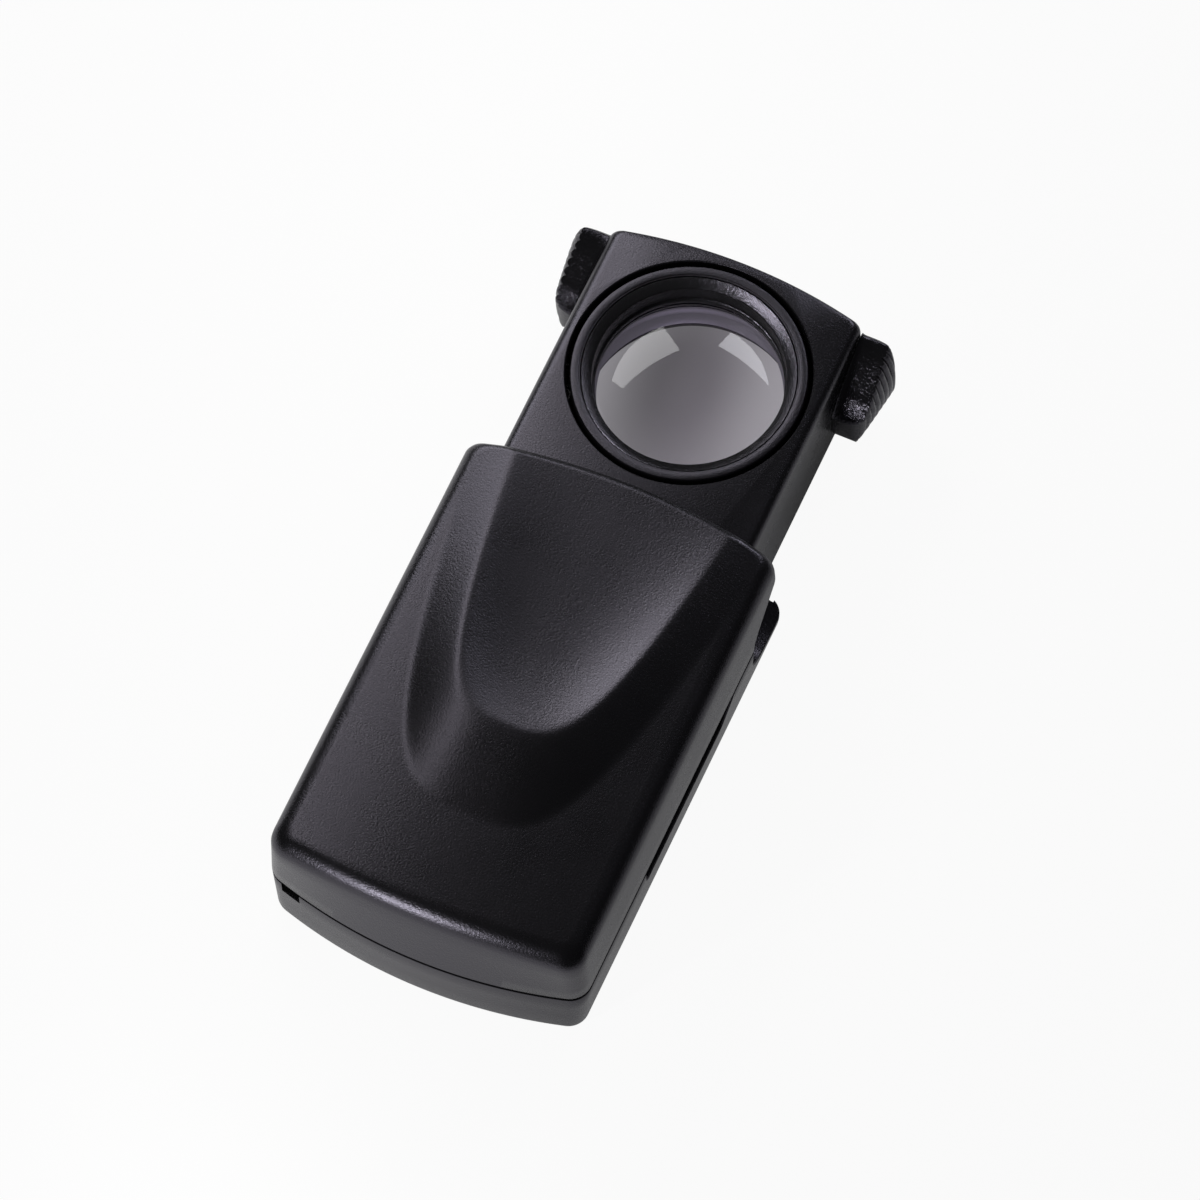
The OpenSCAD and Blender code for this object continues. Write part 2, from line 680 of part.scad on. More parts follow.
// Flat-backed lens: an edge and a curved upper face inside a flat land
module lens(z, curve_r) {
    sink = sqrt(curve_r * curve_r - aperture_r * aperture_r);
    translate([0, lens_y, z]) {
        cylinder(r = lens_r, h = lens_edge, $fn = 96);
        intersection() {
            translate([0, 0, lens_edge - sink]) sphere(r = curve_r, $fn = 128);
            cylinder(r = lens_r, h = lens_edge + curve_r, $fn = 96);
            translate([0, 0, lens_edge / 2]) cylinder(r = lens_r, h = curve_r, $fn = 96);
        }
    }
}

module upper_lens() {
    color([0.8, 0.85, 0.9, 0.4]) lens(upper_edge_z(), upper_lens_r);
}

module lens_spacer() {
    color([0.07, 0.07, 0.075]) translate([0, lens_y, lower_edge_z() + lens_edge])
        ring(aperture_r, lens_r, spacer_h);
}

module lower_lens() {
    color([0.8, 0.85, 0.9, 0.4]) lens(lower_edge_z(), lower_lens_r);
}

module circuit_board() {
    color([0.08, 0.3, 0.15]) difference() {
        box(-board_half_w, board_half_w, board_rear, board_front, base_z + 0.1, ceiling_z - 0.4);
        for (sx = [-1, 1], dx = [-0.64, 0.64]) translate([sx * led_x + dx, board_rear - 1, led_z])
            rotate([-90, 0, 0]) cylinder(r = 0.4, h = board_t + 2, $fn = 24);
    }
}

// Two series resistors on the board's rear face
module resistors() {
    color([0.12, 0.12, 0.13]) for (sx = [-1, 1])
        box(sx * led_x * 1.9 - 0.8, sx * led_x * 1.9 + 0.8, board_rear - 0.5, board_rear,
            led_z + 3, led_z + 3.8);
}

// Lamp lying along +Y: flange, body with round tip, and two leads through the board
module led(x) {
    translate([x, board_front, led_z]) rotate([-90, 0, 0]) {
        cylinder(r = led_flange_r, h = led_flange_h, $fn = 32);
        cylinder(r = led_d / 2, h = led_l - led_d / 2, $fn = 32);
        translate([0, 0, led_l - led_d / 2]) sphere(r = led_d / 2, $fn = 32);
        for (dx = [-0.64, 0.64]) translate([dx, 0, -board_t - 0.4])
            cylinder(r = 0.25, h = board_t + 0.5, $fn = 24);
    }
}

module led_left() {
    color([0.95, 0.95, 0.9]) led(-led_x);
}

module led_right() {
    color([0.95, 0.95, 0.9]) led(led_x);
}

// Button cell: a can with a smaller cap on its underside, where the seal shows
module cell(level) {
    r = cell_d / 2;
    step = 0.5;
    color([0.75, 0.76, 0.78]) translate([0, cell_y, cell_z + level * cell_pitch])
        rotate_extrude($fn = 72) polygon([[0, 0], [r - 1.1, 0], [r - 0.9, step], [r - 0.2, step],
            [r, step + 0.2], [r, cell_h - 0.2], [r - 0.2, cell_h], [0, cell_h]]);
}

module cell_lower() {
    cell(0);
}

module cell_middle() {
    cell(1);
}

module cell_upper() {
    cell(2);
}

// Contact under the cells, bent up against the board
module contact_lower() {
    color([0.8, 0.66, 0.36]) {
        box(-2, 2, cell_y - 4, board_rear, base_z, base_z + contact_t);
        box(-2, 2, board_rear - contact_t, board_rear, base_z, base_z + 1.9);
    }
}

// Contact over the cells, bent down against the board, with a bowed spring on top
module contact_upper() {
    z = stack_top;
    rise = ceiling_z - z - 0.1;
    half = 3;
    bow = (half * half + pow(rise - contact_t, 2)) / (2 * (rise - contact_t));
    color([0.8, 0.66, 0.36]) {
        box(-2, 2, cell_y - 4, board_rear, z, z + contact_t);
        box(-2, 2, board_rear - contact_t, board_rear, z - 2.4, z + contact_t);
        along_x(-1.5, 1.5) intersection() {
            translate([cell_y, z + rise - bow]) difference() {
                circle(r = bow, $fn = 96);
                circle(r = bow - contact_t, $fn = 96);
            }
            translate([cell_y - half, z]) square([2 * half, rise + 1]);
        }
    }
}

// Switch brush: a strip on the carriage's base with a foot through the base's slot
module brush(x) {
    color([0.8, 0.66, 0.36]) translate([x, 0, 0]) {
        box(-brush_w / 2, brush_w / 2, brush_y - 1.6, brush_y - 1.6 + brush_l, base_z,
            base_z + contact_t);
        box(-brush_w / 2, brush_w / 2, brush_y - contact_t, brush_y + contact_t,
            floor_t + fit_gap, base_z + contact_t);
    }
}

module brush_left() {
    brush(-brush_x);
}

module brush_right() {
    brush(brush_x);
}

// Insulated lead from a brush's end to the board
module lead(x, tint) {
    color(tint) translate([x, brush_y - 1.6 + brush_l, base_z + 0.2 + lead_r]) rotate([-90, 0, 0])
        cylinder(r = lead_r, h = board_rear - (brush_y - 1.6 + brush_l), $fn = 24);
}

module lead_left() {
    lead(-brush_x, [0.6, 0.06, 0.05]);
}

module lead_right() {
    lead(brush_x, [0.05, 0.05, 0.05]);
}

upper_shell();
lower_shell();
case_screws();
bridge_strip();
carriage_top();
carriage_base();
carriage_screws();
grip_left();
grip_right();
lens_barrel();
retaining_ring();
upper_lens();
lens_spacer();
lower_lens();
circuit_board();
resistors();
led_left();
led_right();
cell_lower();
cell_middle();
cell_upper();
contact_lower();
contact_upper();
brush_left();
brush_right();
lead_left();
lead_right();
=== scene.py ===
# %% [markdown]
# # A pull-out pocket magnifier
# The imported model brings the 27 pieces at their real size and place. This lesson gives each
# one its finish, and models the pieces that show most again, with softer edges and finer
# curves than the construction needs. It starts by loading the frame and noting its box.

# %% Frame and units
import math

import bmesh
import bpy
from mathutils import Matrix, Vector


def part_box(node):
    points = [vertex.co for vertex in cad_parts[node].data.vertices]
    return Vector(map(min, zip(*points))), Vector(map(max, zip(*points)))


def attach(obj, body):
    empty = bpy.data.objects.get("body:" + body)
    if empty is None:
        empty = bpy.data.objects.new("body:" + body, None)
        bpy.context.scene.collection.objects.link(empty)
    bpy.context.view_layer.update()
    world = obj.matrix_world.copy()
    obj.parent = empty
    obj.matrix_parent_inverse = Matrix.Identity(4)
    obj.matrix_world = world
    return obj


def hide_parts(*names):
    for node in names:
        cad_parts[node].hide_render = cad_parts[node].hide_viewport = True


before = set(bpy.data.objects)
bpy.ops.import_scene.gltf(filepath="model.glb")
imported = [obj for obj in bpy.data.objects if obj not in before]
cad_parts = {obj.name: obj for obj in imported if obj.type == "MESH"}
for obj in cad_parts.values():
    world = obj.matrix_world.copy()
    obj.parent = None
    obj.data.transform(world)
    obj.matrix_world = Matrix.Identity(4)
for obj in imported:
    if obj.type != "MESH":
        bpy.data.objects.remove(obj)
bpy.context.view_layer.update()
MM = 0.001

# %% [markdown]
# ## The camera
# The photograph was taken from the tail end, a little to the right and from high up, with a
# long lens. The camera's place and turn were worked out from the object's straight edges.

# %% Camera
CAMERA_AT = Vector((154.07, -271.82, 720.67)) * MM
CAMERA_RIGHT = Vector((0.91019, 0.41320, -0.02870))
CAMERA_UP = Vector((-0.36512, 0.83313, 0.41544))
CAMERA_BACK = Vector((0.19557, -0.36765, 0.90917))
LENS_MM = 225
SENSOR_MM = 36

camera_data = bpy.data.cameras.new("camera")
camera_data.lens = LENS_MM
camera_data.sensor_fit = "HORIZONTAL"
camera_data.sensor_width = SENSOR_MM
camera_data.clip_start = 0.01
camera = bpy.data.objects.new("camera", camera_data)
turn = Matrix((CAMERA_RIGHT, CAMERA_UP, CAMERA_BACK)).transposed().to_4x4()
camera.matrix_world = Matrix.Translation(CAMERA_AT) @ turn
bpy.context.scene.collection.objects.link(camera)
bpy.context.scene.camera = camera
print("camera stands", round(CAMERA_AT.length / MM), "mm from the object")

# %% [markdown]
# ## Tools for shaping
# Every piece starts as a primitive and is shaped in edit mode. A lathe-like or lofted piece
# grows from one outline: a circle primitive gets its corners moved to the outline, is filled,
# and is then extruded ring by ring. An attribute named place numbers the outline's corners,
# and an extrusion copies it, so each new ring can be put where it belongs.

# %% Selecting and shaping
def start_clean():
    if bpy.context.object and bpy.context.object.mode != "OBJECT":
        bpy.ops.object.mode_set(mode="OBJECT")
    bpy.ops.object.select_all(action="DESELECT")


def only(piece):
    start_clean()
    piece.select_set(True)
    bpy.context.view_layer.objects.active = piece


def set_ring(piece, points):
    """Moves the selected corners to the ring's points, in millimetres, by their place."""
    shape = bmesh.from_edit_mesh(piece.data)
    place = shape.verts.layers.int["place"]
    for corner in shape.verts:
        if corner.select:
            corner.co = Vector(points[corner[place]]) * MM
    bmesh.update_edit_mesh(piece.data)


def loft(name, rings, closed=False):
    """A solid through rings with as many corners each: capped, or closed on itself as a ring."""
    start_clean()
    bpy.ops.mesh.primitive_circle_add(vertices=len(rings[0]), radius=MM, fill_type="NOTHING")
    piece = bpy.context.object
    piece.name = name
    piece.data.name = name
    place = piece.data.attributes.new("place", "INT", "POINT")
    place.data.foreach_set("value", range(len(rings[0])))
    bpy.ops.object.mode_set(mode="EDIT")
    bpy.ops.mesh.select_all(action="SELECT")
    set_ring(piece, rings[0])
    if closed:
        rings = rings + rings[:1]
    else:
        bpy.ops.mesh.edge_face_add()
    for ring in rings[1:]:
        bpy.ops.mesh.extrude_region_move()
        set_ring(piece, ring)
    bpy.ops.mesh.select_all(action="SELECT")
    if closed:
        bpy.ops.mesh.remove_doubles(threshold=MM / 1000)
    bpy.ops.mesh.normals_make_consistent(inside=False)
    bpy.ops.object.mode_set(mode="OBJECT")
    return piece


def upright(name, outline, z0, z1):
    """A prism that stands on a plan outline."""
    return loft(name, [[(x, y, z0) for x, y in outline], [(x, y, z1) for x, y in outline]])


def applied(name):
    """Names the new primitive, and applies its place, turn and size to its mesh."""
    piece = bpy.context.object
    piece.name = name
    bpy.ops.object.transform_apply(location=True, rotation=True, scale=True)
    return piece


def block(name, x0, x1, y0, y1, z0, z1):
    start_clean()
    middle = ((x0 + x1) / 2 * MM, (y0 + y1) / 2 * MM, (z0 + z1) / 2 * MM)
    bpy.ops.mesh.primitive_cube_add(size=1, location=middle)
    bpy.context.object.scale = (abs(x1 - x0) * MM, abs(y1 - y0) * MM, abs(z1 - z0) * MM)
    return applied(name)


def post(name, x, y, z0, z1, radius, corners=48):
    start_clean()
    bpy.ops.mesh.primitive_cylinder_add(vertices=corners, radius=radius * MM,
        depth=(z1 - z0) * MM, location=(x * MM, y * MM, (z0 + z1) / 2 * MM))
    return applied(name)


def pin(name, x, y, z, radius, length):
    """A cylinder that lies along X."""
    start_clean()
    bpy.ops.mesh.primitive_cylinder_add(vertices=32, radius=radius * MM, depth=length * MM,
        location=(x * MM, y * MM, z * MM), rotation=(0, math.pi / 2, 0))
    return applied(name)


def combine(piece, tool, operation):
    """Applies a Boolean modifier and deletes its tool."""
    only(piece)
    change = piece.modifiers.new("change", "BOOLEAN")
    change.operation = operation
    change.solver = "EXACT"
    change.object = tool
    bpy.ops.object.modifier_apply(modifier="change")
    bpy.data.objects.remove(tool)


def cut(piece, tool):
    combine(piece, tool, "DIFFERENCE")


def join(piece, tool):
    combine(piece, tool, "UNION")


def smooth_by_angle(piece, degrees=32):
    only(piece)
    bpy.ops.object.shade_smooth_by_angle(angle=math.radians(degrees))


def mirrored(points):
    return [(-p[0],) + tuple(p[1:]) for p in points]


# %% [markdown]
# ## Plan outlines of the case
# Both ends of the case are bowed, and round corners join each bow to the straight sides. The
# outline is walked once round with a fixed number of steps on each stretch, so that outlines
# of other sizes have the same number of points and can be lofted into each other.

# %% Case sizes, in millimetres
CASE_W = 17.95
REAR_Y = -28.42
FRONT_Y = 28.42
MOUTH_Y = 26.72
PARTING_Z = 8.1
DECK_Z = 16.8
ROOF_Z = 15.5
INNER_X = 16.35
RAIL_X = 14.75
CASE_WALL = 1.6
FLOOR_T = 1.3
BOW_R = 58.5
MOUTH_BOW_R = 66
DECK_BOW_R = 130
CORNER_R = 2.4
MOUTH_CORNER_R = 1.5
DECK_ROUND = 2
LOW_ROUND = 1.5
SIDE_LEAN = 0.4
LOW_LEAN = 0.35
REAR_LEAN = 1.9
GROOVE = 0.5
GROOVE_HALF = 0.26
JOINT_EDGE = 0.08
for label, low_high in (("upper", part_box("upper_shell")), ("lower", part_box("lower_shell"))):
    print(label, "shell in mm:", [[round(c / MM, 2) for c in p] for p in low_high])


# %% Outline of a plan with bowed ends
def corner_arc(w, r, bow, halves, arc_steps):
    """Half of the right corner: from the bow to its middle (2), or from there to the side (1)."""
    lean = math.asin((w - r) / (bow - r))
    centre = (w - r, bow - math.sqrt((bow - r) ** 2 - (w - r) ** 2))
    half = (math.pi / 2 - lean) / 2
    turns = [-halves * half + half * k / arc_steps for k in range(arc_steps + 1)]
    return [(centre[0] + r * math.cos(t), centre[1] + r * math.sin(t)) for t in turns]


def end_curve(w, r, bow, bow_steps, arc_steps):
    """From the middle of the left corner to the middle of the right one, bowing to -y."""
    arc = corner_arc(w, r, bow, 2, arc_steps)
    lean = math.asin((w - r) / (bow - r))
    sweeps = [lean * (2 * k / bow_steps - 1) for k in range(bow_steps + 1)]
    middle = [(bow * math.sin(t), bow * (1 - math.cos(t))) for t in sweeps]
    return mirrored(arc[:0:-1]) + middle + arc[1:]


def plan_curves(w, y0, y1, r0, r1, bow0, bow1, steps):
    """The rear, right, front and left stretches of the outline, each from its first corner."""
    bow_steps, side_steps, arc_steps = steps
    rear = [(x, y0 + y) for x, y in end_curve(w, r0, bow0, bow_steps, arc_steps)]
    front = [(x, y1 - y) for x, y in end_curve(w, r1, bow1, bow_steps, arc_steps)]
    start = [(x, y0 + y) for x, y in corner_arc(w, r0, bow0, 1, arc_steps)]
    stop = [(x, y1 - y) for x, y in corner_arc(w, r1, bow1, 1, arc_steps)]
    low, high = start[-1][1], stop[-1][1]
    side = [(w, low + (high - low) * k / side_steps) for k in range(1, side_steps)]
    right = start + side + stop[::-1]
    return rear, right, front[::-1], mirrored(right[::-1])


def plan_outline(*sizes):
    stretches = plan_curves(*sizes)
    return [p for stretch in stretches for p in stretch[:-1]]


COARSE = (16, 12, 5)
DECK_STEPS = (90, 144, 5)
print("points round a coarse outline:",
    len(plan_outline(CASE_W, REAR_Y, FRONT_Y, CORNER_R, CORNER_R, BOW_R, BOW_R, COARSE)))

# %% [markdown]
# ## The thumb dish
# The dish is a tongue-shaped hollow behind the mouth, inside a ridge that is highest at the
# rear. All its level lines are tongues too, so the height comes from one number: how far in
# a point lies, from 0 on the ridge's foot, over 1 on the crest, to 2 at the dish's floor.
# Moving a fine grid's points by that formula gives flowing curves that hand-set loops can't.

# %% Height of the deck
RIDGE_H = 2.28
RIDGE_FRONT_H = 0.64
DISH_L = 31.5
DISH_HALF_W = 12.5
RIDGE_RUN = 9.4
DISH_POWER = 3.5
FOOT_HALF_W = CASE_W - SIDE_LEAN - 0.8
FLOOR_SHARE = 0.18
FLOOR_POWER = 3.2
BOWL_POWER = 2.3
CREST_ROUND = 0.13


def soft_max(a, b, k):
    return (a + b + math.sqrt((a - b) ** 2 + k * k)) / 2


def soft_min(a, b, k):
    return (a + b - math.sqrt((a - b) ** 2 + k * k)) / 2


def tongue_at(level):
    """Half width and length of the level line, which shrink as the level goes in."""
    if level <= 1:
        return (FOOT_HALF_W + (DISH_HALF_W + 0.2 - FOOT_HALF_W) * level,
            DISH_L + RIDGE_RUN * (1 - level) + 0.1 * level)
    share = 1 - (1 - FLOOR_SHARE) * (level - 1)
    return DISH_HALF_W * share + 0.2 * (2 - level), DISH_L + 0.1 - 7 * (level - 1) ** 1.25


def level_of(x, y):
    """How far in the point lies, found by halving the range of levels."""
    low, high = -0.6, 2.0
    for _ in range(26):
        level = (low + high) / 2
        half_w, length = tongue_at(level)
        if MOUTH_Y - y < length * (1 - (abs(x) / half_w) ** DISH_POWER):
            low = level
        else:
            high = level
    return (low + high) / 2


def ridge_height(x, y):
    """Height over the flat deck: an even slope outside the crest, and a bowl inside it."""
    crest = RIDGE_H - (RIDGE_H - RIDGE_FRONT_H) * (y - MOUTH_Y + DISH_L) / DISH_L
    crest = max(crest, RIDGE_FRONT_H)
    outside = soft_max(level_of(x, y), 0, 0.06) - 0.012
    back = (MOUTH_Y - y) / DISH_L
    floor = max(back, 0) ** FLOOR_POWER
    half_w = DISH_HALF_W * max(1 - back, 0.002) ** (1 / DISH_POWER)
    inside = floor + max(1 - floor, 0) * (abs(x) / half_w) ** BOWL_POWER
    return max(crest * soft_min(outside, min(inside, 3), CREST_ROUND), 0) + 0.02


print("crest over the deck at the dish's rear:", round(ridge_height(0, MOUTH_Y - DISH_L), 2),
    "mm, floor:", round(ridge_height(0, MOUTH_Y - 8), 2), "mm")


# %% [markdown]
# ## Upper shell
# The deck is a fine grid primitive, laid on the rounded plan and lifted by the dish's height.
# Its border is then extruded outwards and down: round the deck's edge, down the leaning
# walls, and in again at the joint, where a narrow groove shows between the shells. The
# cavity, the rails, the screw posts and the notches for the grips are Booleans, as these are
# plain cuts in the real moulding too.

# %% Skin of the upper shell
def upper_level(angle):
    """Plan sizes at an angle round the deck's edge: 90 degrees is the deck, 0 the wall."""
    z = DECK_Z - DECK_ROUND * (1 - math.sin(angle))
    inset = DECK_ROUND * (1 - math.cos(angle))
    lean = (z - PARTING_Z) / (DECK_Z - PARTING_Z)
    return z, (CASE_W - SIDE_LEAN * lean - inset, REAR_Y + 0.2 + REAR_LEAN * lean + inset,
        MOUTH_Y - inset * 0.6, CORNER_R - inset / 2, MOUTH_CORNER_R, DECK_BOW_R, MOUTH_BOW_R)


def joint_outline(inset, steps):
    return plan_outline(CASE_W - inset, REAR_Y + 0.2 + inset, MOUTH_Y - inset, CORNER_R,
        MOUTH_CORNER_R, BOW_R, MOUTH_BOW_R, steps)


def between(ring_a, ring_b, share):
    return [tuple(a + (b - a) * share for a, b in zip(p, q)) for p, q in zip(ring_a, ring_b)]


def upper_rings(lift):
    """Rings from just outside the deck down to the joint."""
    rings = []
    for degrees in (75, 60, 45, 30, 15, 0):
        z, sizes = upper_level(math.radians(degrees))
        fade = math.sin(math.radians(degrees)) * 0.85 + 0.15
        outline = plan_outline(*sizes, DECK_STEPS)
        rings.append([(x, y, z + h * fade) for (x, y), h in zip(outline, lift)])
    low = PARTING_Z + GROOVE_HALF
    wall = [(x, y, low + JOINT_EDGE) for x, y in joint_outline(0, DECK_STEPS)]
    for share in (0.25, 0.5, 0.75, 1):
        rings.append(between(rings[5], wall, share))
    for inset, z in ((0.3 * JOINT_EDGE, low + 0.3 * JOINT_EDGE), (JOINT_EDGE, low), (GROOVE, low),
            (GROOVE, PARTING_Z + 0.01)):
        rings.append([(x, y, z) for x, y in joint_outline(inset, DECK_STEPS)])
    return rings


start_clean()
columns = DECK_STEPS[0] + 2 * DECK_STEPS[2]
rows = DECK_STEPS[1] + 2 * DECK_STEPS[2]
bpy.ops.mesh.primitive_grid_add(x_subdivisions=columns, y_subdivisions=rows, size=2)
upper = bpy.context.object
upper.name = "upper_case_shell"
upper.data.name = "upper_case_shell"
deck_z, deck_sizes = upper_level(math.pi / 2)
rear, right, front, left = plan_curves(*deck_sizes, DECK_STEPS)
front, left = front[::-1], left[::-1]
place_of = {}
for i in range(columns + 1):
    place_of[(i, 0)] = i
    place_of[(i, rows)] = columns + rows + (columns - i)
for j in range(1, rows):
    place_of[(columns, j)] = columns + j
    place_of[(0, j)] = 2 * columns + rows + (rows - j)
place = upper.data.attributes.new("place", "INT", "POINT")
lift = [0.0] * (2 * (columns + rows))
for corner in upper.data.vertices:
    i = round((corner.co.x + 1) / 2 * columns)
    j = round((corner.co.y + 1) / 2 * rows)
    u, v = i / columns, j / rows
    x, y = [
        (1 - v) * rear[i][k] + v * front[i][k] + (1 - u) * left[j][k] + u * right[j][k]
        - (1 - u) * (1 - v) * rear[0][k] - u * (1 - v) * rear[-1][k]
        - (1 - u) * v * front[0][k] - u * v * front[-1][k]
        for k in (0, 1)
    ]
    height = ridge_height(x, y)
    corner.co = Vector((x, y, deck_z + height)) * MM
    if (i, j) in place_of:
        place.data[corner.index].value = place_of[(i, j)]
        lift[place_of[(i, j)]] = height

bpy.ops.object.mode_set(mode="EDIT")
bpy.ops.mesh.select_mode(type="EDGE")
bpy.ops.mesh.select_all(action="DESELECT")
shape = bmesh.from_edit_mesh(upper.data)
for edge in shape.edges:
    edge.select_set(edge.is_boundary)
bmesh.update_edit_mesh(upper.data)
for ring in upper_rings(lift):
    bpy.ops.mesh.extrude_region_move()
    set_ring(upper, ring)
bpy.ops.mesh.edge_face_add()
bpy.ops.mesh.select_all(action="SELECT")
bpy.ops.mesh.normals_make_consistent(inside=False)
bpy.ops.object.mode_set(mode="OBJECT")
print("skin of the upper shell:", len(upper.data.polygons), "faces")

# %% [markdown]
# The notch that takes a grip is cut through both shells with one tool. The tool flares where
# it meets the wall's face, which leaves a small chamfer on the moulding's edge.

# %% Notch tool
GRIP_Z = 3.6
GRIP_Y0 = 45.4
GRIP_Y1 = 53.7
TRAVEL = 27
NOTCH_Y0 = GRIP_Y0 - TRAVEL - 0.98
NOTCH_Y1 = MOUTH_Y - 2.6
NOTCH_LOW = 2.2
NOTCH_X = 14.45
CHAMFER = 0.14
FLARE = 0.3
GRIP_L = 8.3
GRIP_RISE = 3.7
GRIP_FLAT = 1.1


def rounded(corners, radius, steps=4):
    """Rounds the corners of a closed outline."""
    points = []
    for k, here in enumerate(corners):
        before = Vector(corners[k - 1]) - Vector(here)
        after = Vector(corners[(k + 1) % len(corners)]) - Vector(here)
        reach = min(radius, before.length * 0.45, after.length * 0.45)
        a = Vector(here) + before.normalized() * reach
        b = Vector(here) + after.normalized() * reach
        for s in range(steps + 1):
            t = s / steps
            points.append(tuple(a * (1 - t) ** 2 + Vector(here) * 2 * t * (1 - t) + b * t * t))
    return points


def grown(outline, distance):
    """Moves each corner of an anticlockwise outline outwards."""
    points = []
    for k, here in enumerate(outline):
        along = Vector(outline[(k + 1) % len(outline)]) - Vector(outline[k - 1])
        side = Vector((along.y, -along.x)).normalized()
        points.append(tuple(Vector(here) + side * distance))
    return points


def wall_x(z):
    """Where the side wall's face is at a height."""
    if z > PARTING_Z:
        return CASE_W - SIDE_LEAN * min(1, (z - PARTING_Z) / (DECK_Z - PARTING_Z))
    return CASE_W - LOW_LEAN * max(0, (PARTING_Z - z) / (PARTING_Z - LOW_ROUND))


def side_tool(name, outline, side, x_inner):
    """A cutter through the right (1) or left (-1) wall that flares at the wall's face."""
    flare = grown(outline, FLARE)
    rings = [
        [(side * x_inner, y, z) for y, z in outline],
        [(side * (wall_x(z) - CHAMFER), y, z) for y, z in outline],
        [(side * (wall_x(z) + FLARE - CHAMFER), p[0], p[1]) for p, (y, z) in zip(flare, outline)],
        [(side * (CASE_W + 2), p[0], p[1]) for p in flare],
    ]
    return loft(name, rings)


def notch_outline():
    """Side view of the space for a grip, anticlockwise in y and z; it opens at the mouth."""
    slope = GRIP_RISE / (GRIP_L - GRIP_FLAT)
    low_rear = GRIP_Z + 6
    top_mid = low_rear + slope * (NOTCH_Y1 - NOTCH_Y0) + 0.6
    far = FRONT_Y + 5
    corners = [(NOTCH_Y0 + 5, NOTCH_LOW), (far, NOTCH_LOW), (far, top_mid + 2),
        (NOTCH_Y1 + 1.2, top_mid + 2), (NOTCH_Y1 + 0.9, top_mid + 1.2), (NOTCH_Y1, top_mid),
        (NOTCH_Y0 + 1.5, low_rear + 0.7), (NOTCH_Y0 + 0.5, low_rear - 0.1),
        (NOTCH_Y0, low_rear - 1.2), (NOTCH_Y0, NOTCH_LOW + 2.2),
        (NOTCH_Y0 + 0.6, NOTCH_LOW + 1.2), (NOTCH_Y0 + 2, NOTCH_LOW + 0.4)]
    return rounded(corners, 1.2)


print("points in the notch's outline:", len(notch_outline()))

# %% Cavity, rails, posts and notches of the upper shell
LUG_STOP_Y = 9.5
RAIL_REAR = -21.9
TONGUE_Z = 5.2
PILLAR_R = 2.5
POST_X = 12.15
POST_Y = REAR_Y + CASE_WALL + PILLAR_R + 1.4
POST_R = 2.1
POST_LOW = 3.2
SCREW_HOLE_R = 0.95
SCREW_HOLE_TOP = 12.1
LAP = 0.3
cavity = upright("cavity", plan_outline(INNER_X, REAR_Y + CASE_WALL + REAR_LEAN * 0.8, MOUTH_Y + 5,
    CORNER_R, CORNER_R, BOW_R, BOW_R, COARSE), PARTING_Z - 1, ROOF_Z)
cut(upper, cavity)
for side in (1, -1):
    join(upper, block("rail", side * RAIL_X, side * (INNER_X + LAP), LUG_STOP_Y, MOUTH_Y - 2.6,
        PARTING_Z + 0.1, ROOF_Z + LAP))
    join(upper, block("rail", side * RAIL_X, side * (INNER_X + 0.4), RAIL_REAR, LUG_STOP_Y - 0.1,
        PARTING_Z + 0.1, ROOF_Z + LAP))
    join(upper, block("tongue", side * RAIL_X, side * (INNER_X - 0.2), RAIL_REAR, LUG_STOP_Y - 0.1,
        TONGUE_Z, PARTING_Z + 0.2))
    join(upper, post("post", side * POST_X, POST_Y, POST_LOW, ROOF_Z + LAP, POST_R))
    cut(upper, post("hole", side * POST_X, POST_Y, 2, SCREW_HOLE_TOP, SCREW_HOLE_R, 24))
    cut(upper, side_tool("notch", notch_outline(), side, NOTCH_X))
smooth_by_angle(upper)
print("upper shell:", len(upper.data.polygons), "faces")

# %% [markdown]
# ## Lower shell
# The tray is lofted from its underside up: round the bottom edge, up the walls that lean out,
# and in at the joint. The long slot in each wall stays open at the joint and shows the upper
# shell's tongue behind it.

# %% Lower shell
LOWER_STEPS = (48, 60, 6)


def lower_rings():
    rings = []
    for degrees in (90, 75, 60, 45, 30, 15, 0):
        angle = math.radians(degrees)
        z = LOW_ROUND * (1 - math.sin(angle))
        inset = LOW_ROUND * (1 - math.cos(angle)) + LOW_LEAN
        outline = plan_outline(CASE_W - inset, REAR_Y + inset - LOW_LEAN,
            FRONT_Y - inset + LOW_LEAN, CORNER_R - inset / 2, CORNER_R - inset / 2, BOW_R, BOW_R,
            LOWER_STEPS)
        rings.append([(x, y, z) for x, y in outline])
    high = PARTING_Z - GROOVE_HALF
    levels = [(0, high - JOINT_EDGE), (0.3 * JOINT_EDGE, high - 0.3 * JOINT_EDGE),
        (JOINT_EDGE, high), (GROOVE, high), (GROOVE, PARTING_Z - 0.01)]
    for inset, z in levels:
        edge = plan_outline(CASE_W - inset, REAR_Y + 0.2 + inset, FRONT_Y - inset, CORNER_R,
            CORNER_R, BOW_R, BOW_R, LOWER_STEPS)
        rings.append([(x, y, z) for x, y in edge])
        if inset == 0:
            rings[-1:] = [between(rings[6], rings[-1], share) for share in (0.33, 0.66, 1)]
    return rings


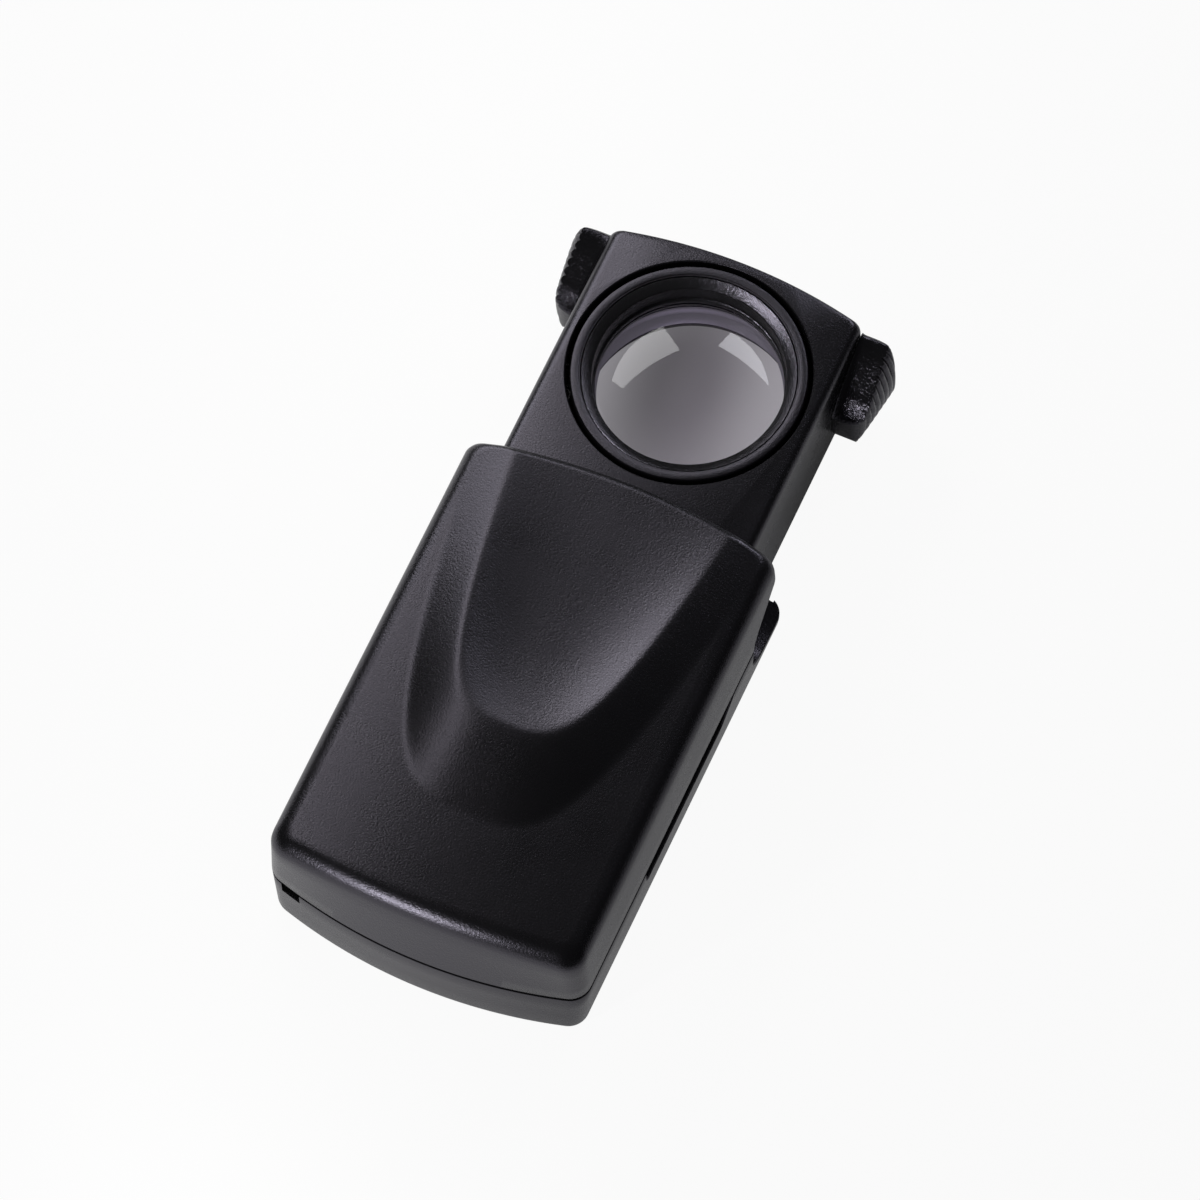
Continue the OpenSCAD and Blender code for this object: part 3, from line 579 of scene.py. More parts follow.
SLOT_Y1 = FRONT_Y - 18.1
SLOT_Y0 = SLOT_Y1 - 19.7
SLOT_Z = PARTING_Z - 2.8
PILLAR_H = 1.8
CLEARANCE_R = 1.05
COUNTERBORE_R = 1.9
COUNTERBORE_H = 1.2
PRY_X0 = 1.9 - CASE_W
PRY_X1 = 4.2 - CASE_W
PRY_L = 3.6
PRY_H = 1.9
STRIP_RECESS = (-11.5, 11.5, 12.8, 15.8)
slot_outline = rounded([(SLOT_Y0, SLOT_Z), (SLOT_Y1 - 1.2, SLOT_Z), (SLOT_Y1 + 2.5, PARTING_Z),
    (SLOT_Y1 + 2.5, PARTING_Z + 1), (SLOT_Y0 - 0.4, PARTING_Z + 1), (SLOT_Y0 - 0.4, SLOT_Z + 0.6)],
    0.5)
lower = loft("lower_case_shell", lower_rings())
tray = upright("tray", plan_outline(INNER_X, REAR_Y + CASE_WALL, FRONT_Y + 5, CORNER_R - 1,
    CORNER_R - 1, BOW_R, BOW_R, COARSE), FLOOR_T, PARTING_Z + 1)
cut(lower, tray)
for side in (1, -1):
    for y0, y1, top in ((RAIL_REAR, LUG_STOP_Y + 0.1, FLOOR_T + 1),
            (LUG_STOP_Y, NOTCH_Y0, PARTING_Z - 0.05),
            (NOTCH_Y0 - 0.1, FRONT_Y - 2.6, NOTCH_LOW + 0.01)):
        join(lower, block("rail", side * RAIL_X, side * (INNER_X + LAP), y0, y1, FLOOR_T - 0.2,
            top))
    join(lower, post("pillar", side * POST_X, POST_Y, FLOOR_T - 0.2, FLOOR_T + PILLAR_H, PILLAR_R))
    cut(lower, side_tool("notch", notch_outline(), side, NOTCH_X))
    cut(lower, side_tool("slot", slot_outline, side, INNER_X - 0.01))
    cut(lower, post("hole", side * POST_X, POST_Y, -1, 9, CLEARANCE_R, 24))
    cut(lower, post("counterbore", side * POST_X, POST_Y, -1, COUNTERBORE_H, COUNTERBORE_R))
cut(lower, block("pry", PRY_X0, PRY_X1, REAR_Y - 1, REAR_Y + PRY_L, PARTING_Z - PRY_H,
    PARTING_Z + 1))
cut(lower, block("recess", *STRIP_RECESS, FLOOR_T - 0.2, FLOOR_T + 0.01))
smooth_by_angle(lower)
print("lower shell:", len(lower.data.polygons), "faces")

# %% Rides of the case
for piece, node in ((upper, "upper_shell"), (lower, "lower_shell")):
    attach(piece, "case")
    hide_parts(node)

# %% [markdown]
# ## Carriage
# The sliding block has round long edges and a head that is bowed in plan, with a softer edge.
# It is lofted upwards, then hollowed. The big hole for the lens barrel is cut with a turned
# tool whose flare leaves a small chamfer round the rim.

# %% Turned pieces
LENS_Y = 41.15
TURN_STEPS = 160


def circle_at(radius, z):
    turns = [2 * math.pi * k / TURN_STEPS for k in range(TURN_STEPS)]
    return [(radius * math.cos(t), LENS_Y + radius * math.sin(t), z) for t in turns]


def turned(name, profile, closed=False):
    """A piece turned round the lens's axis, from a profile of radius and height. An open
    profile is capped at both ends, and a closed one makes a ring."""
    return loft(name, [circle_at(radius, z) for radius, z in profile], closed)


# %% Carriage top
CARRIAGE_W = 14.45
INNER_W = 13.25
CARRIAGE_Z0 = 1.6
CARRIAGE_Z1 = 15.2
CEILING_Z = 13.7
TAIL_Y = 7.4
HEAD_Y = 55.4
TAIL_BOW_R = 4000
CARRIAGE_WALL = 1.2
HOLE_R = 13.05
LONG_ROUND = 1.3
LOW_LONG_ROUND = 0.9
HEAD_ROUND = 0.45
CARRIAGE_STEPS = (32, 40, 5)
BOSS_X = 11.25
BOSS_YS = (TAIL_Y + 3.1, HEAD_Y - 4.3)
BOSS_LOW = 2.9
THREAD_TOP = 9.8
THREAD_R = 0.9
LUG_L = 2
LUG_Z0 = 2.6
LUG_Z1 = 4.6


def carriage_plan(w, y0, y1, corner):
    """The head is bowed, and the tail is all but straight."""
    return plan_outline(w, y0, y1, corner, corner, TAIL_BOW_R, BOW_R, CARRIAGE_STEPS)


def carriage_rings():
    rings = []
    levels = [(CARRIAGE_Z0, LOW_LONG_ROUND, d) for d in (90, 60, 30, 0)]
    levels += [(CARRIAGE_Z1, LONG_ROUND, d) for d in (0, 18, 36, 54, 72, 90)]
    for edge_z, radius, degrees in levels:
        angle = math.radians(degrees)
        drop = radius * (1 - math.sin(angle))
        z = edge_z + drop if edge_z == CARRIAGE_Z0 else edge_z - drop
        inset = radius * (1 - math.cos(angle))
        end_inset = HEAD_ROUND * (1 - math.cos(angle))
        plan = carriage_plan(CARRIAGE_W - inset, TAIL_Y + end_inset, HEAD_Y - end_inset, 1)
        rings.append([(x, y, z) for x, y in plan])
    return rings


carriage = loft("carriage_cover", carriage_rings())
cut(carriage, upright("hollow", carriage_plan(INNER_W, TAIL_Y + CARRIAGE_WALL,
    HEAD_Y - CARRIAGE_WALL + 0.05, 0.6), CARRIAGE_Z0 - 1, CEILING_Z))
PEG_YS = (GRIP_Y0 + 2, GRIP_Y1 - 2.1)
PEG_Z = GRIP_Z + 3.2
for side in (1, -1):
    for y in BOSS_YS:
        join(carriage, post("boss", side * BOSS_X, y, BOSS_LOW, CEILING_Z + 0.2, POST_R))
        cut(carriage, post("hole", side * BOSS_X, y, 1, THREAD_TOP, THREAD_R, 24))
    join(carriage, block("lug", side * (CARRIAGE_W - 0.6), side * (INNER_X - 0.25), TAIL_Y,
        TAIL_Y + LUG_L, LUG_Z0, LUG_Z1))
bore = turned("bore", [(HOLE_R, CARRIAGE_Z0 - 1), (HOLE_R, CARRIAGE_Z1 - 0.16),
    (HOLE_R + 0.05, CARRIAGE_Z1 - 0.06), (HOLE_R + 0.14, CARRIAGE_Z1 + 0.01),
    (HOLE_R + 0.14, CARRIAGE_Z1 + 1)])
cut(carriage, bore)
for side in (1, -1):
    for y in PEG_YS:
        cut(carriage, pin("drill", side * 13.85, y, PEG_Z, 1.25, 1.5))
smooth_by_angle(carriage)
print("carriage:", len(carriage.data.polygons), "faces")

# %% [markdown]
# ## Lens barrel, retaining ring and lenses
# These are turned parts. The barrel's face has a fine step, the ring's inside slopes down to
# a thin lip round the lens, and each lens has a flat back and a curved upper face.

# %% Lens group
BARREL_R = 12.55
LENS_R = 10.5
APERTURE_R = 10.0
RING_R = 11.4
barrel = turned("lens_holder", [
    (APERTURE_R, 5.7), (BARREL_R - 0.3, 5.7), (BARREL_R - 0.09, 5.79), (BARREL_R, 6.0),
    (BARREL_R, 14.8), (BARREL_R - 0.04, 14.95), (BARREL_R - 0.13, 15.06), (BARREL_R - 0.28, 15.1),
    (BARREL_R - 0.86, 15.09), (BARREL_R - 0.93, 15.05), (BARREL_R - 0.97, 14.95),
    (BARREL_R - 1.06, 14.93), (BARREL_R - 1.1, 14.89), (BARREL_R - 1.1, 12.3), (LENS_R + 0.1, 11.9),
    (LENS_R + 0.1, 6.7), (APERTURE_R, 6.7)], closed=True)
ring = turned("retainer", [
    (APERTURE_R, 11.52), (LENS_R, 11.52), (LENS_R, 12.0), (RING_R, 12.35), (RING_R, 14.72),
    (RING_R - 0.04, 14.82), (RING_R - 0.1, 14.86), (RING_R - 0.17, 14.83), (10.36, 14.3),
    (10.3, 14.22), (10.26, 14.1), (10.22, 12.3), (10.18, 12.2), (10.1, 12.14), (10.04, 12.1),
    (APERTURE_R, 12.02)], closed=True)


TOP_LENS_Z = 10.0
TOP_CURVE_R = 22
UNDER_LENS_Z = 6.7
UNDER_CURVE_R = 40
LENS_EDGE = 1.5


def lens_profile(z, curve_r):
    sink = math.sqrt(curve_r ** 2 - APERTURE_R ** 2)
    curve = []
    for k in range(29):
        radius = APERTURE_R * (1 - k / 28)
        arch = math.sqrt(curve_r ** 2 - radius ** 2)
        curve.append((max(radius, 0.02), z + LENS_EDGE - sink + arch))
    back = [(0.02, z), (LENS_R * 0.5, z), (LENS_R - 0.06, z), (LENS_R, z + 0.06)]
    return back + [(LENS_R, z + LENS_EDGE - 0.06), (LENS_R - 0.06, z + LENS_EDGE)] + curve


top_lens = turned("magnifying_lens", lens_profile(TOP_LENS_Z, TOP_CURVE_R))
under_lens = turned("second_lens", lens_profile(UNDER_LENS_Z, UNDER_CURVE_R))
for piece in (barrel, ring, top_lens, under_lens):
    smooth_by_angle(piece)
    print(piece.name, "has", len(piece.data.polygons), "faces")

# %% [markdown]
# ## Carriage base
# The base under the lenses needs no new shape, apart from its window, whose edge shows through
# the lenses and is a little narrower. A copy of the base's mesh has its doubled corners merged
# and then takes a thin collar in the window. The collar is turned a little, so that its
# corners don't meet the window's, and weighted normals keep the flat underside flat.

# %% Base with the narrower window
WINDOW_R = 8.5
WINDOW_CUT_R = 9.5
BASE_Z0 = CARRIAGE_Z0
BASE_Z1 = CARRIAGE_Z0 + 1.2
start_clean()
base = bpy.data.objects.new("carriage_floor", bpy.data.objects["carriage_base"].data.copy())
bpy.context.scene.collection.objects.link(base)
only(base)
bpy.ops.object.mode_set(mode="EDIT")
bpy.ops.mesh.select_all(action="SELECT")
bpy.ops.mesh.remove_doubles(threshold=0.002 * MM)
bpy.ops.mesh.normals_make_consistent(inside=False)
bpy.ops.object.mode_set(mode="OBJECT")
COLLAR_R = WINDOW_CUT_R + 0.3
COLLAR_TURN = 0.013
collar = turned("window_collar", [(WINDOW_R, BASE_Z0 + 0.1), (WINDOW_R + 0.1, BASE_Z0 + 0.02),
    (COLLAR_R, BASE_Z0 + 0.02), (COLLAR_R, BASE_Z1 - 0.02), (WINDOW_R + 0.1, BASE_Z1 - 0.02),
    (WINDOW_R, BASE_Z1 - 0.1)], closed=True)
centre = Matrix.Translation((0, LENS_Y * MM, 0))
collar.data.transform(centre @ Matrix.Rotation(COLLAR_TURN, 4, "Z") @ centre.inverted())
join(base, collar)
smooth_by_angle(base)
only(base)
base.modifiers.new("even", "WEIGHTED_NORMAL").keep_sharp = True
bpy.ops.object.modifier_apply(modifier="even")
print(base.name, "has", len(base.data.polygons), "faces")

# %% [markdown]
# ## Grips
# A grip is thinner and lower at its rear end. Its sections across the slide all have the same
# bulging outline, so it is lofted through many of them, with rounded ribs set into the loft.
# Three tables give how far out, how high and how low it reaches at each place along it.

# %% Sections of a grip
GRIP_OUT = 4.5
GRIP_FRONT_H = 9.7
RIBS = 8
RIB_PITCH = 0.86
RIBS_Y0 = GRIP_Y0 + 0.35
RIB_DEPTH = 0.45
BULGE = [(0, 0.75), (0.08, 0.83), (0.23, 0.93), (0.38, 0.99), (0.5, 1), (0.66, 0.94),
    (0.81, 0.86), (0.9, 0.79), (1, 0.68)]


def along(table, t):
    """Reads a value between the entries of a table."""
    for (a, va), (b, vb) in zip(table, table[1:]):
        if t <= b:
            return va + (vb - va) * (t - a) / (b - a)
    return table[-1][1]


GRIP_LEAN = 0.15
ROOT_FILLET = 0.35
FRONT_ROUND = 2
ends = [1 - (1 - k / 12) ** 2 for k in range(13)]
PLAN = [(GRIP_Y0, 1.3)]
PLAN += [(GRIP_Y0 + y, GRIP_OUT - short) for y, short in ((0.05, 2.6), (0.12, 2.1), (0.3, 1.55),
    (0.6, 1.12), (1, 0.82), (1.6, 0.52), (3, 0.2))]
PLAN += [(GRIP_Y1 - FRONT_ROUND * (1 - t), 0.4 + (GRIP_OUT - 0.4) * (1 - t ** 2.2) ** (1 / 2.2))
    for t in ends]
TOP = [(GRIP_Y0 + y, high) for y, high in ((0, 4.3), (0.12, 4.7), (0.35, 5.02), (0.7, 5.4),
    (1.2, 5.92), (1.6, 6.32), (2, 6.64), (2.6, 7.0))]
TOP += [(GRIP_Y1 - y, GRIP_FRONT_H - drop) for y, drop in ((3, 1), (2.3, 0.6), (1.6, 0.25),
    (1, 0.05), (0.6, 0), (0.35, 0.1), (0.1, 0.4), (0, 1))]
LOW = [(GRIP_Y0, 3), (GRIP_Y0 + 0.05, 1.2), (GRIP_Y0 + 0.3, 0.2), (GRIP_Y0 + 0.6, 0), (GRIP_Y1, 0)]


def rib_cut(y):
    """Depth of the grooves at a place along the grip: round ribs with sharp grooves between."""
    t = (y - RIBS_Y0) / RIB_PITCH
    if not 0 < t < RIBS:
        return 0
    return RIB_DEPTH * (1 - math.sqrt(1 - (2 * (t % 1) - 1) ** 2))


def grip_section(y):
    """One section: from the root's bottom out, up over the bulge and back to the root's top."""
    reach, top, low = along(PLAN, y), along(TOP, y), along(LOW, y)
    grow = GRIP_LEAN * (y - GRIP_Y1 + 2.6)
    cut = rib_cut(y)
    face = []
    for k in range(25):
        z = low + (top - low) * k / 24
        bulge = GRIP_OUT * along(BULGE, z / GRIP_FRONT_H) + grow
        x = soft_min(bulge, reach, 0.25) - cut * min(1, k / 3)
        face.append((max(x, 0.3), z))
    inner = min(ROOT_FILLET, 0.6 * face[-1][0])
    rise = min(1, reach / 2.5) * 0.34
    fillet = [(inner * wide, top + rise * up)
        for wide, up in ((1, 0), (0.4, 0.25), (0.12, 0.6), (0, 1))]
    root = [(0, low + (top + rise - low) * k / 8) for k in range(7, -1, -1)]
    shelf = [(face[-1][0] * 0.65 + inner * 0.35, top), (face[-1][0] * 0.3 + inner * 0.7, top)]
    outline = face[:-1] + [(face[-1][0] - 0.1, top - 0.02)] + shelf + fillet + root
    return [(CARRIAGE_W + 0.05 + x, y, GRIP_Z + z) for x, z in outline]


stations = [GRIP_Y0, GRIP_Y0 + 0.05, GRIP_Y0 + 0.12, GRIP_Y0 + 0.22]
stations += [RIBS_Y0 + RIB_PITCH * k / 8 for k in range(RIBS * 8 + 1)]
stations += [GRIP_Y1 - 1.07 * (1 - k / 12) ** 2 for k in range(1, 13)]
grips = []
for side, label in ((1, "right"), (-1, "left")):
    sections = [grip_section(y) for y in stations]
    if side < 0:
        sections = [mirrored(section) for section in sections]
    grip = loft("finger_grip_" + label, sections)
    for y in PEG_YS:
        join(grip, pin("peg", side * 14.1, y, PEG_Z, 1.2, 1.7))
    smooth_by_angle(grip, 40)
    grips.append(grip)
    print(grip.name, "has", len(grip.data.polygons), "faces")

# %% Rides of the carriage
CARRIAGE_PIECES = (
    (carriage, "carriage_top", "carriage_plastic"), (barrel, "lens_barrel", "barrel_plastic"),
    (ring, "retaining_ring", "barrel_plastic"), (top_lens, "upper_lens", "lens_glass"),
    (under_lens, "lower_lens", "lens_glass"), (grips[0], "grip_right", "grip_plastic"),
    (grips[1], "grip_left", "grip_plastic"), (base, "carriage_base", "carriage_plastic"))
for piece, node, finish in CARRIAGE_PIECES:
    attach(piece, "carriage")
    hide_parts(node)

# %% [markdown]
# ## Shader expressions
# Node maths reads better as Python. A wrapped socket can be added, multiplied and so on, and
# each such step adds its Math node; every other node comes from one method.

# %% Shader class
class Socket:
    """A socket of a shader that can be used in an expression."""

    def __init__(self, shader, socket):
        self.shader, self.socket = shader, socket

    def maths(self, operation, a, b):
        return self.shader.node("ShaderNodeMath", {"operation": operation}, {0: a, 1: b})

    def __add__(self, other):
        return self.maths("ADD", self, other)

    def __sub__(self, other):
        return self.maths("SUBTRACT", self, other)

    def __rsub__(self, other):
        return self.maths("SUBTRACT", other, self)

    def __mul__(self, other):
        return self.maths("MULTIPLY", self, other)

    def __pow__(self, other):
        return self.maths("POWER", self, other)

    def __lt__(self, other):
        return self.maths("LESS_THAN", self, other)

    def __gt__(self, other):
        return self.maths("GREATER_THAN", self, other)

    def __abs__(self):
        return self.maths("ABSOLUTE", self, 0.0)

    __radd__ = __add__
    __rmul__ = __mul__


class Shader:
    """A material whose nodes are added by one method."""

    def __init__(self, name):
        self.material = bpy.data.materials.new(name)
        self.material.use_nodes = True
        self.tree = self.material.node_tree
        self.tree.nodes.clear()
        self.output = self.tree.nodes.new("ShaderNodeOutputMaterial")

    def node(self, kind, settings=None, sockets=None, out=0):
        node = self.tree.nodes.new(kind)
        for key, value in (settings or {}).items():
            if key == "stops":
                while len(node.color_ramp.elements) < len(value):
                    node.color_ramp.elements.new(0.5)
                for element, (place, tone) in zip(node.color_ramp.elements, value):
                    element.position = place
                    element.color = (tone, tone, tone, 1)
            else:
                setattr(node, key, value)
        for key, value in (sockets or {}).items():
            if isinstance(value, Socket):
                self.tree.links.new(value.socket, node.inputs[key])
            else:
                node.inputs[key].default_value = value
        return Socket(self, node.outputs[out])

    def place(self):
        return self.node("ShaderNodeTexCoord", out="Object")

    def noise(self, scale_per_mm, detail, roughness, stretch=(1, 1, 1)):
        place = self.node("ShaderNodeMapping", {}, {"Vector": self.place(), "Scale": stretch})
        return self.node("ShaderNodeTexNoise", sockets={"Vector": place,
            "Scale": scale_per_mm / MM, "Detail": detail, "Roughness": roughness})

    def along(self, axis):
        """The place along X, Y or Z in metres."""
        return self.node("ShaderNodeSeparateXYZ", {}, {0: self.place()}, out=axis)

    def edges(self, width_mm):
        """White along sharp edges: where a rounded normal turns away from the true one."""
        soft = self.node("ShaderNodeBevel", {"samples": 4}, {"Radius": width_mm * MM})
        true = self.node("ShaderNodeNewGeometry", out="Normal")
        same = self.node("ShaderNodeVectorMath", {"operation": "DOT_PRODUCT"}, {0: soft, 1: true},
            out="Value")
        return self.node("ShaderNodeMapRange", {}, {"Value": same, "From Min": 0.98,
            "From Max": 0.7, "To Min": 0.0, "To Max": 1.0})

    def ramp(self, value, *stops):
        return self.node("ShaderNodeValToRGB", {"stops": stops}, {"Fac": value})

    def smooth(self, value, start, stop, low, high):
        """From low to high, with soft ends, as the value goes from start to stop."""
        return self.node("ShaderNodeMapRange", {"interpolation_type": "SMOOTHSTEP"},
            {"Value": value, "From Min": start, "From Max": stop, "To Min": low, "To Max": high})

    def blend(self, share, a, b):
        return self.node("ShaderNodeMix", {"data_type": "RGBA"}, {0: share, 6: a, 7: b}, out=2)

    def bump(self, height, strength, depth_mm):
        return self.node("ShaderNodeBump", {}, {"Height": height, "Strength": strength,
            "Distance": depth_mm * MM})

    def surface(self, **sockets):
        names = {key.replace("_", " "): value for key, value in sockets.items()}
        return self.node("ShaderNodeBsdfPrincipled", {}, names)

    def finish(self, shader):
        self.tree.links.new(shader.socket, self.output.inputs["Surface"])
        return self.material


# %% [markdown]
# ## Moulded black plastic
# All the black parts come from steel moulds that were eroded to a fine grain. The grain is a
# noise bump; the colour and gloss drift slightly, and edges that rub are a little lighter.
# The ring and the grips are coarser, and catch the light in sparks.

# %% Black plastics
PLASTIC_TINT = (0.87, 0.82, 1.0, 1)
PLASTIC_SHINE = 0.64
TONE = 0.0055
WEAR = 0.05


def moulded(name, rough, grain_per_mm, grain_mm):
    shader = Shader(name)
    grain = shader.noise(grain_per_mm, 3.0, 0.6)
    cloud = shader.noise(0.11, 3.0, 0.55)
    rub = shader.edges(0.12) * shader.ramp(shader.noise(0.9, 4.0, 0.65), (0.42, 0.0), (0.66, 1.0))
    base = shader.blend(cloud, (TONE * 0.8, TONE * 0.8, TONE * 0.84, 1),
        (TONE * 1.2, TONE * 1.2, TONE * 1.24, 1))
    worn = shader.blend(rub * 0.6, base, (WEAR, WEAR, WEAR, 1))
    gloss = rough - 0.05 + cloud * 0.08 + grain * 0.06 - rub * 0.08
    return shader.finish(shader.surface(Base_Color=worn, Roughness=gloss,
        Specular_IOR_Level=PLASTIC_SHINE, Specular_Tint=PLASTIC_TINT,
        Normal=shader.bump(grain, 0.55, grain_mm)))


case_black = moulded("case_plastic_fine_grain", 0.26, 4.4, 0.062)
carriage_black = moulded("carriage_plastic_fine_grain", 0.26, 4.6, 0.055)
barrel_black = moulded("barrel_plastic_satin", 0.3, 5, 0.1)
ring_black = moulded("ring_plastic_coarse_grain", 0.18, 3.8, 0.12)
grip_black = moulded("grip_plastic_coarse_grain", 0.17, 3.6, 0.13)


def base_black_painted_pale_plate():
    """As the carriage, but dull, with painted light: the plate round the window, inside the collar,
    is pale.
    """
    shader = Shader("base_plastic_dull_inside")
    grain = shader.noise(4, 3.0, 0.6)
    x, y, z = [shader.along(axis) for axis in range(3)]
    off = y - LENS_Y * MM
    radius = (x * x + off * off) ** 0.5
    inside = radius < 11.6 * MM
    above = z > (BASE_Z1 - 0.05) * MM
    # Painted light: the plate's top inside the collar is pale grey instead of black, so that the
    # view through the lenses reads lit.
    painted_pale_grey = shader.blend(grain, (0.22, 0.228, 0.226, 1), (0.26, 0.268, 0.266, 1))
    black = shader.blend(grain, (0.004, 0.004, 0.0042, 1), (0.008, 0.008, 0.0084, 1))
    rub = shader.edges(0.12)
    return shader.finish(shader.surface(Base_Color=shader.blend(inside * above, black, painted_pale_grey),
        Roughness=grain * 0.1 + 0.34 - rub * 0.06, Specular_Tint=PLASTIC_TINT,
        Normal=shader.bump(grain, 0.5, 0.04)))


def dress(piece, material):
    piece.data.materials.clear()
    piece.data.materials.append(material)


dress(upper, case_black)
dress(lower, case_black)
dress(carriage, carriage_black)
dress(barrel, barrel_black)
dress(base, base_black_painted_pale_plate())
dress(ring, ring_black)
for grip in grips:
    dress(grip, grip_black)

# %% [markdown]
# ## Glass
# The lenses bend light, and the top face mirrors it. The faces below it only bend light, as
# coated ones do, so there are no second reflections. Shadow rays pass straight through, so
# that the light reaches the floor under the lens as it does on the table.

# %% Lens glass
GLASS_TINT = (0.975, 0.966, 0.984, 1)


def clear_glass(name):
    shader = Shader(name)
    dust = shader.ramp(shader.noise(1.3, 5.0, 0.7), (0.5, 0.0), (0.8, 1.0))
    glass = shader.surface(Base_Color=GLASS_TINT, Roughness=dust * 0.02, IOR=1.5,
        Transmission_Weight=1.0)
    coated = shader.node("ShaderNodeBsdfRefraction", {}, {"Color": GLASS_TINT, "IOR": 1.5})
    below = shader.along(2) < (TOP_LENS_Z + 0.03) * MM
    glass = shader.node("ShaderNodeMixShader", {}, {0: below, 1: glass, 2: coated})
    through = shader.node("ShaderNodeBsdfTransparent", {}, {"Color": (0.93, 0.91, 0.95, 1)})
    shadow = shader.node("ShaderNodeLightPath", out="Is Shadow Ray")
    return shader.finish(shader.node("ShaderNodeMixShader", {}, {0: shadow, 1: glass, 2: through}))


glass = clear_glass("lens_glass_clear")
dress(top_lens, glass)
dress(under_lens, glass)

# %% [markdown]
# ## Metals and the other inside parts
# The inside parts are stamped, plated or bought in. Each metal has fine marks along the way
# it was rolled or turned, a dull bloom and brighter edges. The lamps are clear resin with
# tinned legs, the resistors are black with tinned ends, and the board is green.

# %% Metals
def metal(name, colour, rough, stretch=(1, 1, 1)):
    shader = Shader(name)
    marks = shader.noise(5, 3.0, 0.6, stretch)
    bloom = shader.noise(0.45, 4.0, 0.6)
    dull = tuple(0.72 * c for c in colour[:3]) + (1,)
    base = shader.blend(bloom, dull, colour)
    gloss = rough + marks * 0.14 + bloom * 0.1 - shader.edges(0.08) * 0.1
    return shader.finish(shader.surface(Base_Color=base, Metallic=1.0, Roughness=gloss,
        Normal=shader.bump(marks, 0.35, 0.012)))


steel = metal("screws_zinc_plated", (0.62, 0.64, 0.68, 1), 0.24)
brass = metal("contacts_rolled_brass", (0.74, 0.56, 0.27, 1), 0.22, (1, 0.12, 1))
bronze = metal("brushes_spring_bronze", (0.72, 0.45, 0.24, 1), 0.24, (1, 0.12, 1))
can = metal("cells_stainless_can", (0.66, 0.67, 0.69, 1), 0.16, (1, 1, 0.2))


# %% Board, resistors, lamps and leads
def board_green():
    shader = Shader("board_green_mask")
    weave = shader.noise(2.6, 2.0, 0.5, (1, 1, 0.3))
    base = shader.blend(weave, (0.012, 0.085, 0.03, 1), (0.02, 0.13, 0.045, 1))
    bare = shader.blend(shader.edges(0.15), base, (0.3, 0.27, 0.14, 1))
    return shader.finish(shader.surface(Base_Color=bare, Roughness=weave * 0.15 + 0.3,
        Coat_Weight=0.4, Normal=shader.bump(weave, 0.3, 0.02)))


def resistor_black():
    shader = Shader("resistors_black_with_tinned_ends")
    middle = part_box("resistors")[1][0] - 0.8 * MM
    tin = abs(abs(shader.along(0)) - middle) > 0.5 * MM
    grain = shader.noise(7, 3.0, 0.6)
    base = shader.blend(tin, (0.015, 0.015, 0.017, 1), (0.7, 0.7, 0.68, 1))
    return shader.finish(shader.surface(Base_Color=shader.blend(grain * 0.2, base,
        (0.1, 0.1, 0.1, 1)), Metallic=tin, Roughness=grain * 0.15 + 0.35,
        Normal=shader.bump(grain, 0.4, 0.015)))


def lamp_resin():
    shader = Shader("lamps_clear_resin")
    leg = shader.along(1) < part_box("circuit_board")[1][1]
    flow = shader.noise(0.9, 3.0, 0.5)
    resin = shader.surface(Base_Color=(0.96, 0.97, 0.93, 1), Roughness=flow * 0.06 + 0.02,
        IOR=1.53, Transmission_Weight=1.0, Normal=shader.bump(flow, 0.2, 0.05))
    wire = shader.surface(Base_Color=(0.7, 0.7, 0.68, 1), Metallic=1.0, Roughness=flow * 0.2 + 0.2)
    return shader.finish(shader.node("ShaderNodeMixShader", {}, {0: leg, 1: resin, 2: wire}))


def insulated(name, colour):
    shader = Shader(name)
    skin = shader.noise(2.2, 3.0, 0.5, (1, 0.25, 1))
    dusty = tuple(c * 0.8 + 0.02 for c in colour[:3]) + (1,)
    return shader.finish(shader.surface(Base_Color=shader.blend(skin, dusty, colour),
        Roughness=skin * 0.12 + 0.36, Normal=shader.bump(skin, 0.3, 0.02)))


# %% Finishes of the CAD nodes that stay
INNER_FINISHES = {
    barrel_black: ("lens_spacer",),
    steel: ("case_screws", "carriage_screws"), can: ("cell_lower", "cell_middle", "cell_upper"),
    brass: ("bridge_strip", "contact_lower", "contact_upper"),
    bronze: ("brush_left", "brush_right"), board_green(): ("circuit_board",),
    resistor_black(): ("resistors",), lamp_resin(): ("led_left", "led_right"),
    insulated("lead_red", (0.45, 0.02, 0.015, 1)): ("lead_left",),
    insulated("lead_black", (0.012, 0.012, 0.013, 1)): ("lead_right",)}
for material, nodes in INNER_FINISHES.items():
    for node in nodes:
        for slot in bpy.data.objects[node].material_slots:
            slot.material = material
print("finishes given to CAD nodes:", sum(len(nodes) for nodes in INNER_FINISHES.values()))
